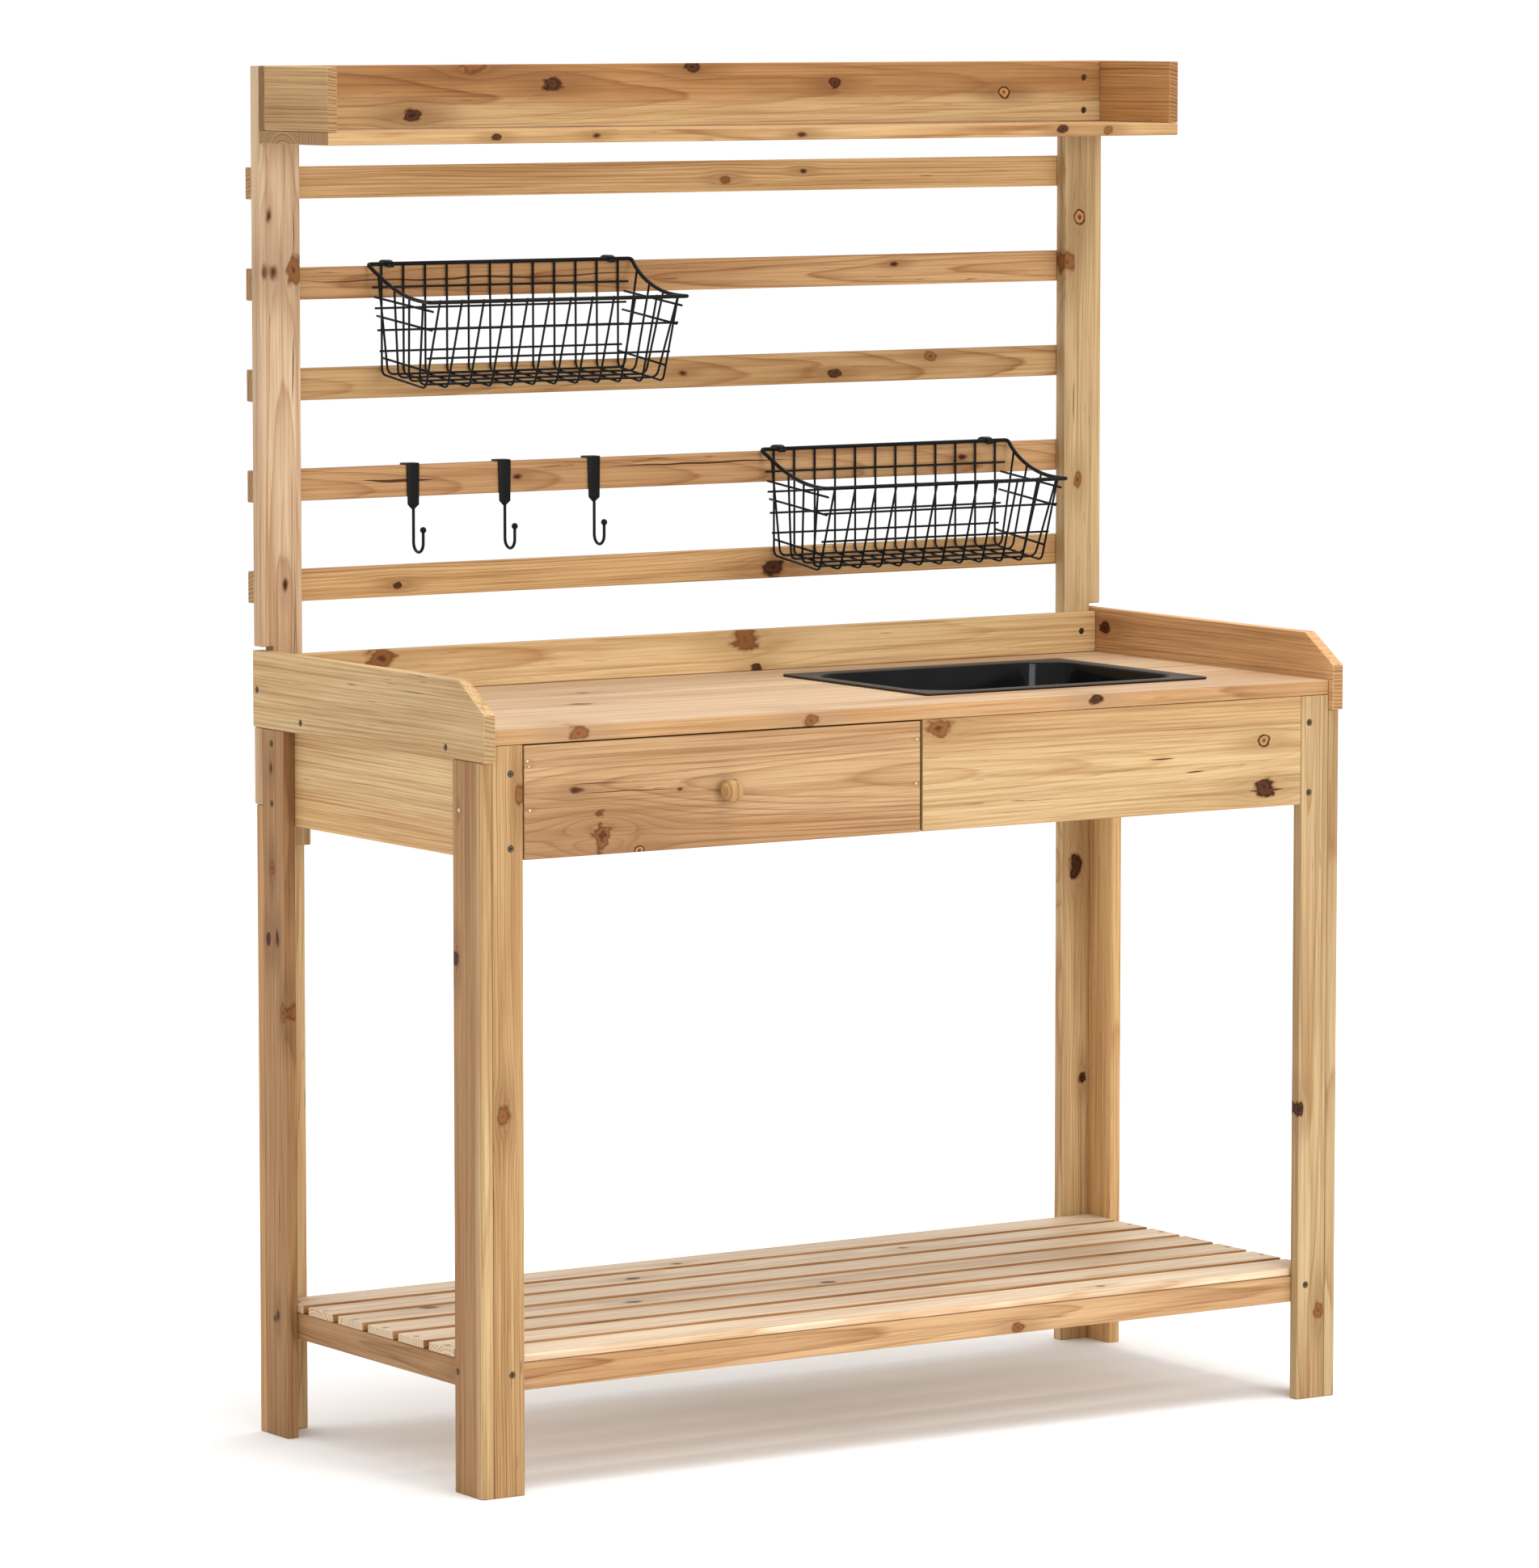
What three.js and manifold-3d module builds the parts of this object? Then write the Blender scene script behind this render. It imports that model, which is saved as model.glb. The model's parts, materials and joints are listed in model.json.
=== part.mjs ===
// Potting bench: a timber work table with a raised back frame, a shelf on top, a slatted
// trellis for wire baskets and hooks, one drawer, a drop-in sink and a slatted lower shelf.
// Millimetres. While building, X runs right from the outer face of the left legs, Y runs back
// from the front face of the legs and Z runs up from the ground. The finished group is centred
// on the bench's bounding box, standing on Z = 0.

import * as THREE from "three";
import { mergeVertices } from "three/addons/utils/BufferGeometryUtils.js";
import Module from "manifold-3d";

const wasm = await Module();
wasm.setup();

// ---------------------------------------------------------------- driving dimensions

const GAP = 0.3; // clearance between pieces that touch

const BENCH_WIDTH = 1122;
const LEG_DEPTH = 475; // front face of the front legs to rear face of the rear legs
const BENCH_HEIGHT = 1500;

const BOARD = 14; // thickness of the leg, apron, rail and tray boards
const FRONT_LEG_SIDE_WIDTH = 57; // boards that face sideways
const REAR_LEG_SIDE_WIDTH = 46;
const LEG_FACE_WIDTH = 52; // leg width seen from the front
const REAR_LEG_FACE_TOP = 695;

const TABLETOP_HEIGHT = 813;
const TABLETOP_THICKNESS = 16;

const TRAY_SIDE_HEIGHT = 84;
const TRAY_SIDE_DROP = 33; // how far the tray sides reach below the tabletop's upper face
const TRAY_FRONT_OVERHANG = 8;
const TRAY_REAR_OVERHANG = 3; // past the rear face of the uprights
const TRAY_BACK_HEIGHT = 47;
const TRAY_BACK_THICKNESS = 12;
const CHAMFER_RUN = 53;
const CHAMFER_DROP = 34;

const UPRIGHT_WIDTH = 51;
const UPRIGHT_THICKNESS = 18;
const UPRIGHT_NOTCH_GAP = 4.5; // open space above the tray side where it passes the upright

const SHELF_HEIGHT = 84;
const SHELF_DEPTH = 150;
const SHELF_BACK_THICKNESS = 12;
const SHELF_END_THICKNESS = 12;
const SHELF_BOTTOM_THICKNESS = 14;
const SHELF_REAR_BOARD_DEPTH = 85;

const TRELLIS_COUNT = 5;
const TRELLIS_DROP = 110; // from the top of the bench down to the highest slat
const TRELLIS_PITCH = 110;
const TRELLIS_SLAT_HEIGHT = 35;
const TRELLIS_SLAT_THICKNESS = 12;

const APRON_HEIGHT = 122;
const SPLICE_DROP = 25; // how far the splice blocks reach below the aprons
const CORNER_BLOCK_DEPTH = 20;
const CENTRE_GAP = 3; // between the drawer front and the fixed panel
const DRAWER_FRONT_RIGHT = 555;
const DRAWER_FRONT_CLEARANCE = 1.5;
const DRAWER_SIDE_CLEARANCE = 2;
const DRAWER_BOX_DEPTH = 386;
const DRAWER_SIDE_HEIGHT = 80;
const DRAWER_SIDE_THICKNESS = 10;
const DRAWER_BOTTOM_THICKNESS = 5;
const RUNNER_THICKNESS = 12;
const RUNNER_LIP = 10; // how far a runner reaches under the drawer side

const KNOB_RADIUS = 13;
const KNOB_STEM_RADIUS = 6;
const KNOB_LENGTH = 24;
const KNOB_HEAD_LENGTH = 13;

const SINK_CENTRE_X = 810;
const SINK_CENTRE_Y = 227;
const SINK_WIDTH = 382;
const SINK_DEPTH = 292;
const SINK_LIP = 15; // flange resting on the tabletop, beyond the basin
const SINK_LIP_THICKNESS = 2.6;
const SINK_WALL = 3;
const SINK_BASIN_DEPTH = 118;
const SINK_TAPER = 16; // how far each side of the basin leans in by its floor
const SINK_CORNER = 38;
const SINK_CUTOUT_CLEARANCE = 2;

const LOWER_SHELF_HEIGHT = 148;
const LOWER_SLAT_THICKNESS = 9;
const LOWER_SLAT_WIDTH = 54;
const LOWER_SLAT_PITCH = 64.5;
const LOWER_SLAT_COUNT = 7;
const LOWER_SLAT_FRONT = 17; // front edge of the first slat
const RAIL_HEIGHT = 29;
const CENTRE_RAIL_WIDTH = 30;

const WIRE = 2.6;
const RIM_WIRE = 4.4;
const BASKET_WIDTH = 304; // between the end grids, at the bottom
const BASKET_FLARE = 15; // how far each end grid leans out by the rim
const BASKET_RIM_OVERHANG = 3; // rim beyond the end grids
const BASKET_HEIGHT = 121;
const BASKET_FRONT_DROP = 38; // rim: how far the front is below the back
const BASKET_FLOOR_FALL = 12; // floor: how far the front is below the back
const BASKET_FLOOR_DEPTH = 94;
const BASKET_RIM_DEPTH = 126;
const BASKET_LOOPS = 12; // wires that run down the back, under the floor and up the front
const BASKET_CORNER = 9; // bevel of each wire at the floor
const BASKET_BACK_LEVELS = [0.21, 0.4, 0.6, 0.79]; // heights of the long wires, as shares of each grid
const BASKET_FRONT_LEVELS = [0.31, 0.65];
const BASKET_END_LEVELS = [0.3, 0.47, 0.85];
const BASKET_LONG_WIRES = [0.14, 0.38, 0.62, 0.86]; // down each end grid and along the floor
const BASKET_TAB_WIDTH = 9;
const BASKET_TAB_THICKNESS = 2;
const BASKET_TAB_LIP = 12;
const BASKET_TAB_INSET = 9.5; // from the end grid to the tab's centre
const LEFT_BASKET_X = 315.5;
const LEFT_BASKET_SLAT = 1; // trellis slats are counted from the top, starting at 0
const RIGHT_BASKET_X = 830.5;
const RIGHT_BASKET_SLAT = 3;

const HOOK_X = [202, 320, 437];
const HOOK_SLAT = 3;
const HOOK_STRAP_WIDTH = 16;
const HOOK_STRAP_THICKNESS = 1.8;
const HOOK_LIP = 6;
const HOOK_PLATE_LENGTH = 46;
const HOOK_TIP_LENGTH = 5;
const HOOK_WIRE = 3.4;
const HOOK_BEND_RADIUS = 10.5;
const HOOK_LENGTH = 100; // top of the strap to the lowest point of the wire
const HOOK_BALL_RADIUS = 3.6;
const HOOK_BALL_RISE = 25; // ball centre above the lowest point of the wire

// ---------------------------------------------------------------- derived places

const RIGHT = BENCH_WIDTH;
const TABLE_UNDERSIDE = TABLETOP_HEIGHT - TABLETOP_THICKNESS;
const TRAY_SIDE_BOTTOM = TABLETOP_HEIGHT - TRAY_SIDE_DROP;
const TRAY_SIDE_TOP = TRAY_SIDE_BOTTOM + TRAY_SIDE_HEIGHT;
const APRON_BOTTOM = TABLE_UNDERSIDE - APRON_HEIGHT;
const APRON_TOP = TABLE_UNDERSIDE - GAP;
const REAR_BOARD_FRONT = LEG_DEPTH - BOARD; // front face of the rear legs' back boards
const UPRIGHT_REAR = REAR_BOARD_FRONT + UPRIGHT_THICKNESS;
const TRELLIS_FRONT = UPRIGHT_REAR + GAP;
const TRELLIS_REAR = TRELLIS_FRONT + TRELLIS_SLAT_THICKNESS;
const INNER_SIDE = BOARD + GAP; // first free X inside a leg's side board
const INNER_FRONT = BOARD + GAP; // first free Y behind a leg's front board
const INNER_REAR = REAR_BOARD_FRONT - GAP;
const APRON_INNER = INNER_SIDE + BOARD; // inner face of a side apron or side rail
const SLAT_UNDERSIDE = LOWER_SHELF_HEIGHT - LOWER_SLAT_THICKNESS;
const RAIL_TOP = SLAT_UNDERSIDE - GAP;
const RAIL_BOTTOM = RAIL_TOP - RAIL_HEIGHT;

// ---------------------------------------------------------------- materials

function timber(colour) {
  return new THREE.MeshStandardMaterial({ color: colour, roughness: 0.72, metalness: 0 });
}

const CEDAR = 0xd9b98a;
const PALE_CEDAR = 0xe2cba2;
const PINK_CEDAR = 0xd2a983;
const BLACK_WIRE = 0x161616;

function blackMetal() {
  return new THREE.MeshStandardMaterial({ color: BLACK_WIRE, roughness: 0.45, metalness: 0.6 });
}

function blackPlastic() {
  return new THREE.MeshStandardMaterial({ color: 0x101010, roughness: 0.22, metalness: 0 });
}

// ---------------------------------------------------------------- building helpers

const bench = new THREE.Group();

function add(name, geometry, material) {
  const mesh = new THREE.Mesh(geometry, material);
  mesh.name = name;
  bench.add(mesh);
  return mesh;
}

// A square-edged board between two opposite corners.
function board(name, x, y, z, colour = CEDAR) {
  const geometry = new THREE.BoxGeometry(x[1] - x[0], y[1] - y[0], z[1] - z[0]);
  geometry.translate((x[0] + x[1]) / 2, (y[0] + y[1]) / 2, (z[0] + z[1]) / 2);
  return add(name, geometry, timber(colour));
}

// The same span of X, measured in from the right-hand side of the bench.
function mirrored(x) {
  return [RIGHT - x[1], RIGHT - x[0]];
}

// One board on the left and its mirror image on the right.
function boardPair(stem, suffix, x, y, z, colour = CEDAR) {
  board(`${stem}_left${suffix}`, x, y, z, colour);
  board(`${stem}_right${suffix}`, mirrored(x), y, z, colour);
}

function extruded(outline, depth) {
  const shape = new THREE.Shape(outline.map(([a, b]) => new THREE.Vector2(a, b)));
  return new THREE.ExtrudeGeometry(shape, { depth, bevelEnabled: false });
}

// Profile in Y and Z, extruded along X from x.
function profileAlongX(outline, x, depth) {
  const geometry = extruded(outline, depth);
  geometry.applyMatrix4(new THREE.Matrix4().set(0, 0, 1, x, 1, 0, 0, 0, 0, 1, 0, 0, 0, 0, 0, 1));
  return geometry;
}

// Profile in X and Z, extruded along Y from y: the outline runs clockwise in that plane.
function profileAlongY(outline, y, depth) {
  const geometry = extruded(outline, depth);
  geometry.rotateX(Math.PI / 2);
  geometry.translate(0, y + depth, 0);
  return geometry;
}

function toSolid(geometry) {
  const plain = geometry.index ? geometry.toNonIndexed() : geometry.clone();
  plain.deleteAttribute("normal");
  plain.deleteAttribute("uv");
  const merged = mergeVertices(plain, 1e-4);
  const vertProperties = new Float32Array(merged.attributes.position.array);
  const triVerts = new Uint32Array(merged.index.array);
  return new wasm.Manifold(new wasm.Mesh({ numProp: 3, vertProperties, triVerts }));
}

function toGeometry(solid) {
  const mesh = solid.getMesh();
  const geometry = new THREE.BufferGeometry();
  geometry.setAttribute("position", new THREE.BufferAttribute(new Float32Array(mesh.vertProperties), 3));
  geometry.setIndex(new THREE.BufferAttribute(new Uint32Array(mesh.triVerts), 1));
  geometry.computeVertexNormals();
  return geometry;
}

function joined(geometries) {
  return toGeometry(geometries.map(toSolid).reduce((whole, piece) => whole.add(piece)));
}

// A path of straight runs that keeps its corner points exactly.
class CornerPath extends THREE.Curve {
  constructor(points) {
    super();
    this.points = points.map(([x, y, z]) => new THREE.Vector3(x, y, z));
  }

  getPoint(t, target = new THREE.Vector3()) {
    const place = t * (this.points.length - 1);
    const first = Math.min(Math.floor(place), this.points.length - 2);
    return target.lerpVectors(this.points[first], this.points[first + 1], place - first);
  }

  getPointAt(u, target) {
    return this.getPoint(u, target);
  }

  getTangentAt(u, target) {
    return this.getTangent(u, target);
  }
}

// A round or square bar of the given diameter along straight runs between the points.
function wire(points, diameter, sides) {
  const section = new THREE.Shape();
  for (let side = 0; side < sides; side += 1) {
    const angle = (2 * Math.PI * (side + 0.5)) / sides;
    const corner = [Math.cos(angle) * diameter / 2, Math.sin(angle) * diameter / 2];
    if (side === 0) section.moveTo(...corner);
    else section.lineTo(...corner);
  }
  section.closePath();
  const path = new CornerPath(points);
  return new THREE.ExtrudeGeometry(section, {
    steps: points.length - 1,
    extrudePath: path,
    bevelEnabled: false,
  });
}

// ---------------------------------------------------------------- legs and uprights

function addLegs() {
  const sideTop = TRAY_SIDE_BOTTOM - GAP;
  const side = [0, BOARD];
  boardPair("front", "_leg_side_board", side, [0, FRONT_LEG_SIDE_WIDTH], [0, sideTop]);
  const face = [INNER_SIDE, LEG_FACE_WIDTH];
  boardPair("front", "_leg_face_board", face, [0, BOARD], [0, APRON_TOP], PALE_CEDAR);
  const rearSide = [INNER_REAR - REAR_LEG_SIDE_WIDTH, INNER_REAR];
  boardPair("rear", "_leg_side_board", side, rearSide, [0, sideTop]);
  const back = [REAR_BOARD_FRONT, LEG_DEPTH];
  boardPair("rear", "_leg_back_board", [0, LEG_FACE_WIDTH], back, [0, REAR_LEG_FACE_TOP]);
}

// An upright stands on the rear leg's back board. Its outer edge is slotted where the tray side
// board passes through to the rear.
function addUprights() {
  const low = REAR_LEG_FACE_TOP + GAP;
  const slotLow = TRAY_SIDE_BOTTOM - GAP;
  const slotHigh = TRAY_SIDE_TOP + UPRIGHT_NOTCH_GAP;
  const outline = [
    [0, low],
    [UPRIGHT_WIDTH, low],
    [UPRIGHT_WIDTH, BENCH_HEIGHT],
    [0, BENCH_HEIGHT],
    [0, slotHigh],
    [INNER_SIDE, slotHigh],
    [INNER_SIDE, slotLow],
    [0, slotLow],
  ];
  const flipped = outline.map(([x, z]) => [RIGHT - x, z]);
  const left = profileAlongY(outline, REAR_BOARD_FRONT, UPRIGHT_THICKNESS);
  const right = profileAlongY(flipped, REAR_BOARD_FRONT, UPRIGHT_THICKNESS);
  add("left_upright", left, timber(CEDAR));
  add("right_upright", right, timber(CEDAR));
}

// Blocks inside the four corners: the rear pair ties each upright to its leg.
function addCornerBlocks() {
  const x = [APRON_INNER + GAP, LEG_FACE_WIDTH];
  const rear = [INNER_REAR - BOARD, INNER_REAR];
  boardPair("rear", "_splice_block", x, rear, [APRON_BOTTOM - SPLICE_DROP, APRON_TOP], PALE_CEDAR);
  const front = [INNER_FRONT, INNER_FRONT + CORNER_BLOCK_DEPTH];
  boardPair("front", "_corner_block", x, front, [APRON_BOTTOM, APRON_TOP]);
}

// ---------------------------------------------------------------- trellis and top shelf

function slatTop(index) {
  return BENCH_HEIGHT - TRELLIS_DROP - index * TRELLIS_PITCH;
}

function addTrellis() {
  for (let index = 0; index < TRELLIS_COUNT; index += 1) {
    const top = slatTop(index);
    const z = [top - TRELLIS_SLAT_HEIGHT, top];
    board(`trellis_slat_${index + 1}`, [0, RIGHT], [TRELLIS_FRONT, TRELLIS_REAR], z);
  }
}

function addTopShelf() {
  const bottom = BENCH_HEIGHT - SHELF_HEIGHT;
  const floor = bottom + SHELF_BOTTOM_THICKNESS;
  const wall = [floor + GAP, BENCH_HEIGHT];
  const backFront = INNER_REAR - SHELF_BACK_THICKNESS;
  const split = INNER_REAR - SHELF_REAR_BOARD_DEPTH;
  const front = INNER_REAR - SHELF_DEPTH;
  board("top_shelf_back_board", [0, RIGHT], [backFront, INNER_REAR], wall);
  boardPair("top_shelf", "_end", [0, SHELF_END_THICKNESS], [front, backFront - GAP], wall);
  board("top_shelf_rear_bottom_board", [0, RIGHT], [split, INNER_REAR], [bottom, floor]);
  board("top_shelf_front_bottom_board", [0, RIGHT], [front, split - GAP], [bottom, floor]);
}

// ---------------------------------------------------------------- work surface

function sinkOpening() {
  const halfWidth = SINK_WIDTH / 2 - SINK_LIP + SINK_CUTOUT_CLEARANCE;
  const halfDepth = SINK_DEPTH / 2 - SINK_LIP + SINK_CUTOUT_CLEARANCE;
  return { halfWidth, halfDepth, corner: SINK_CORNER };
}

// Rounded rectangle about the sink's centre, as points, counter-clockwise.
function roundedRectangle(halfWidth, halfDepth, radius, stepsPerCorner) {
  const points = [];
  const corners = [[1, 1], [-1, 1], [-1, -1], [1, -1]];
  corners.forEach(([sx, sy], quarter) => {
    for (let step = 0; step <= stepsPerCorner; step += 1) {
      const angle = (Math.PI / 2) * (quarter + step / stepsPerCorner);
      const x = sx * (halfWidth - radius) + radius * Math.cos(angle);
      const y = sy * (halfDepth - radius) + radius * Math.sin(angle);
      points.push([SINK_CENTRE_X + x, SINK_CENTRE_Y + y]);
    }
  });
  return points;
}

const CORNER_STEPS = 5;

function addTabletop() {
  const outline = [
    [INNER_SIDE, 0],
    [RIGHT - INNER_SIDE, 0],
    [RIGHT - INNER_SIDE, INNER_REAR],
    [INNER_SIDE, INNER_REAR],
  ];
  const shape = new THREE.Shape(outline.map(([x, y]) => new THREE.Vector2(x, y)));
  const { halfWidth, halfDepth, corner } = sinkOpening();
  const hole = roundedRectangle(halfWidth, halfDepth, corner, CORNER_STEPS);
  shape.holes.push(new THREE.Path(hole.map(([x, y]) => new THREE.Vector2(x, y))));
  const depth = TABLETOP_THICKNESS;
  const geometry = new THREE.ExtrudeGeometry(shape, { depth, bevelEnabled: false });
  geometry.translate(0, 0, TABLE_UNDERSIDE);
  add("tabletop", geometry, timber(PALE_CEDAR));
}

function addTray() {
  const front = -TRAY_FRONT_OVERHANG;
  const rear = UPRIGHT_REAR + TRAY_REAR_OVERHANG;
  const side = [
    [front, TRAY_SIDE_BOTTOM],
    [rear, TRAY_SIDE_BOTTOM],
    [rear, TRAY_SIDE_TOP],
    [front + CHAMFER_RUN, TRAY_SIDE_TOP],
    [front, TRAY_SIDE_TOP - CHAMFER_DROP],
  ];
  add("tray_left_side", profileAlongX(side, 0, BOARD), timber(PALE_CEDAR));
  add("tray_right_side", profileAlongX(side, RIGHT - BOARD, BOARD), timber(PINK_CEDAR));
  const x = [INNER_SIDE, RIGHT - INNER_SIDE];
  const z = [TABLETOP_HEIGHT + GAP, TABLETOP_HEIGHT + TRAY_BACK_HEIGHT];
  board("tray_back_board", x, [INNER_REAR - TRAY_BACK_THICKNESS, INNER_REAR], z);
}

// Rings of equal point count, joined in order into one closed body: the first and the last ring
// are filled.
function ringBody(rings) {
  const count = rings[0].length;
  const positions = rings.flat(2);
  const indices = [];
  for (let ring = 0; ring < rings.length - 1; ring += 1) {
    for (let point = 0; point < count; point += 1) {
      const next = (point + 1) % count;
      const a = ring * count + point;
      const b = ring * count + next;
      indices.push(a, b, b + count, a, b + count, a + count);
    }
  }
  const last = (rings.length - 1) * count;
  for (let point = 1; point < count - 1; point += 1) {
    indices.push(0, point + 1, point);
    indices.push(last, last + point, last + point + 1);
  }
  const geometry = new THREE.BufferGeometry();
  geometry.setAttribute("position", new THREE.Float32BufferAttribute(positions, 3));
  geometry.setIndex(indices);
  geometry.computeVertexNormals();
  return geometry;
}

function addSink() {
  const rim = TABLETOP_HEIGHT + GAP;
  const top = rim + SINK_LIP_THICKNESS;
  const floor = top - SINK_BASIN_DEPTH;
  const width = SINK_WIDTH / 2;
  const depth = SINK_DEPTH / 2;
  const ring = (inset, radius, z) =>
    roundedRectangle(width - inset, depth - inset, radius, CORNER_STEPS).map(([x, y]) => [x, y, z]);
  const inner = SINK_LIP + SINK_WALL;
  const rings = [
    ring(SINK_LIP + SINK_TAPER, SINK_CORNER - 6, floor - SINK_WALL),
    ring(SINK_LIP, SINK_CORNER, rim),
    ring(0, 6, rim),
    ring(0, 6, top),
    ring(inner, SINK_CORNER - SINK_WALL, top),
    ring(inner + SINK_TAPER, SINK_CORNER - SINK_WALL - 6, floor),
  ];
  add("sink", ringBody(rings), blackPlastic());
}

// ---------------------------------------------------------------- aprons and drawer

function addAprons() {
  const z = [APRON_BOTTOM, APRON_TOP];
  boardPair("side_apron", "", [INNER_SIDE, APRON_INNER], [INNER_FRONT, INNER_REAR], z, PALE_CEDAR);
  const backX = [APRON_INNER + GAP, RIGHT - APRON_INNER - GAP];
  const backRear = INNER_REAR - BOARD - GAP;
  board("back_apron", backX, [backRear - BOARD, backRear], z);
  const panelX = [DRAWER_FRONT_RIGHT + CENTRE_GAP, RIGHT - LEG_FACE_WIDTH - GAP];
  board("fixed_front_panel", panelX, [0, BOARD], z);
  const backFront = backRear - BOARD - GAP;
  const dividerX = [dividerLeft(), dividerLeft() + BOARD];
  board("drawer_divider", dividerX, [INNER_FRONT, backFront], z);
  const runnerTop = drawerFloor() - GAP;
  const runnerZ = [runnerTop - RUNNER_THICKNESS, runnerTop];
  const runnerY = [INNER_FRONT + CORNER_BLOCK_DEPTH + GAP, backFront];
  const drawerX = drawerSpan();
  board("left_drawer_runner", [APRON_INNER + GAP, drawerX[0] + RUNNER_LIP], runnerY, runnerZ);
  board("right_drawer_runner", [drawerX[1] - RUNNER_LIP, dividerLeft() - GAP], runnerY, runnerZ);
}

// Outer faces of the drawer box: it passes between the left leg and the divider.
function drawerSpan() {
  const left = LEG_FACE_WIDTH + DRAWER_SIDE_CLEARANCE;
  return [left, dividerLeft() - DRAWER_SIDE_CLEARANCE];
}

function dividerLeft() {
  return DRAWER_FRONT_RIGHT - DRAWER_FRONT_CLEARANCE;
}

// Underside of the drawer box.
function drawerFloor() {
  return APRON_BOTTOM + RUNNER_THICKNESS + DRAWER_FRONT_CLEARANCE + GAP;
}

function addDrawer() {
  const frontX = [LEG_FACE_WIDTH + DRAWER_FRONT_CLEARANCE, DRAWER_FRONT_RIGHT];
  const frontZ = [APRON_BOTTOM, TABLE_UNDERSIDE - DRAWER_FRONT_CLEARANCE];
  board("drawer_front", frontX, [0, BOARD], frontZ, PINK_CEDAR);
  const [left, right] = drawerSpan();
  const floor = drawerFloor();
  const floorTop = floor + DRAWER_BOTTOM_THICKNESS;
  const y = [INNER_FRONT, INNER_FRONT + DRAWER_BOX_DEPTH];
  board("drawer_bottom", [left, right], y, [floor, floorTop], PALE_CEDAR);
  const wallZ = [floorTop + GAP, floorTop + DRAWER_SIDE_HEIGHT];
  const thickness = DRAWER_SIDE_THICKNESS;
  board("drawer_left_side", [left, left + thickness], y, wallZ);
  board("drawer_right_side", [right - thickness, right], y, wallZ);
  const backX = [left + thickness + GAP, right - thickness - GAP];
  board("drawer_back", backX, [y[1] - thickness, y[1]], wallZ);
  addKnob((frontX[0] + frontX[1]) / 2, (frontZ[0] + frontZ[1]) / 2);
}

// A turned knob: a stem against the drawer front and a domed head.
function addKnob(x, z) {
  const headBase = KNOB_LENGTH - KNOB_HEAD_LENGTH;
  const profile = [[0, GAP], [KNOB_STEM_RADIUS + 2, GAP], [KNOB_STEM_RADIUS, headBase * 0.5]];
  profile.push([KNOB_STEM_RADIUS, headBase]);
  const steps = 5;
  for (let step = 0; step <= steps; step += 1) {
    const angle = (Math.PI / 2) * (step / steps);
    const radius = KNOB_RADIUS * Math.cos(angle * 0.999);
    const rise = headBase + 3 + (KNOB_HEAD_LENGTH - 3) * Math.sin(angle);
    profile.push([step === steps ? 0 : radius, rise]);
  }
  const points = profile.map(([radius, rise]) => new THREE.Vector2(radius, rise));
  const geometry = new THREE.LatheGeometry(points, 20);
  geometry.rotateX(Math.PI);
  geometry.translate(x, 0, z);
  add("drawer_knob", geometry, timber(CEDAR));
}

// ---------------------------------------------------------------- lower shelf

function addLowerShelf() {
  const z = [RAIL_BOTTOM, RAIL_TOP];
  boardPair("lower_side_rail", "", [INNER_SIDE, APRON_INNER], [INNER_FRONT, INNER_REAR], z);
  const x = [APRON_INNER + GAP, RIGHT - APRON_INNER - GAP];
  board("lower_front_rail", x, [INNER_FRONT, INNER_FRONT + BOARD], z, PINK_CEDAR);
  board("lower_back_rail", x, [INNER_REAR - BOARD, INNER_REAR], z);
  const middle = [RIGHT / 2 - CENTRE_RAIL_WIDTH / 2, RIGHT / 2 + CENTRE_RAIL_WIDTH / 2];
  board("lower_centre_rail", middle, [APRON_INNER + GAP, INNER_REAR - BOARD - GAP], z);
  for (let index = 0; index < LOWER_SLAT_COUNT; index += 1) {
    const front = LOWER_SLAT_FRONT + index * LOWER_SLAT_PITCH;
    const y = [front, front + LOWER_SLAT_WIDTH];
    const slatZ = [SLAT_UNDERSIDE, LOWER_SHELF_HEIGHT];
    board(`lower_shelf_slat_${index + 1}`, [INNER_SIDE, RIGHT - INNER_SIDE], y, slatZ, PALE_CEDAR);
  }
}

// ---------------------------------------------------------------- baskets and hooks

// A welded wire basket that hangs by two tabs over a trellis slat. Local X is across, local Y
// runs back from the back grid, so the basket reaches into negative Y, and local Z is up from
// the slat's upper edge. The end grids lean out evenly towards the rim.
const RIM_Z = RIM_WIRE / 2 + GAP;
const FRONT_RIM_Z = RIM_Z - BASKET_FRONT_DROP;
const FLOOR_Z = RIM_Z - BASKET_HEIGHT;
const FRONT_FLOOR_Z = FLOOR_Z - BASKET_FLOOR_FALL;
const RIM_HALF = BASKET_WIDTH / 2 + BASKET_FLARE + BASKET_RIM_OVERHANG;
const WELD = WIRE / 2; // crossing wires sink into each other by half their thickness

// Straight-line value between two known ones.
function between(value, from, to, low, high) {
  return low + ((value - from) / (to - from)) * (high - low);
}

// Half width between the end grids at a height.
function endHalf(z) {
  return between(z, FLOOR_Z, RIM_Z, BASKET_WIDTH / 2, BASKET_WIDTH / 2 + BASKET_FLARE);
}

// Distance forward of the front grid at a height.
function frontGrid(z) {
  return between(z, FRONT_FLOOR_Z, FRONT_RIM_Z, BASKET_FLOOR_DEPTH, BASKET_RIM_DEPTH);
}

// Height of the sloping floor at a distance forward.
function floorHeight(forward) {
  return between(forward, 0, BASKET_FLOOR_DEPTH, FLOOR_Z, FRONT_FLOOR_Z);
}

// The side rim sweeps down from the back corner to the front in straight steps:
// share of the rim's depth, and share of its fall.
const SIDE_RIM = [[0, 0], [0.18, 0.38], [0.33, 0.62], [0.5, 0.81], [0.68, 0.94], [1, 1]];

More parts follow.
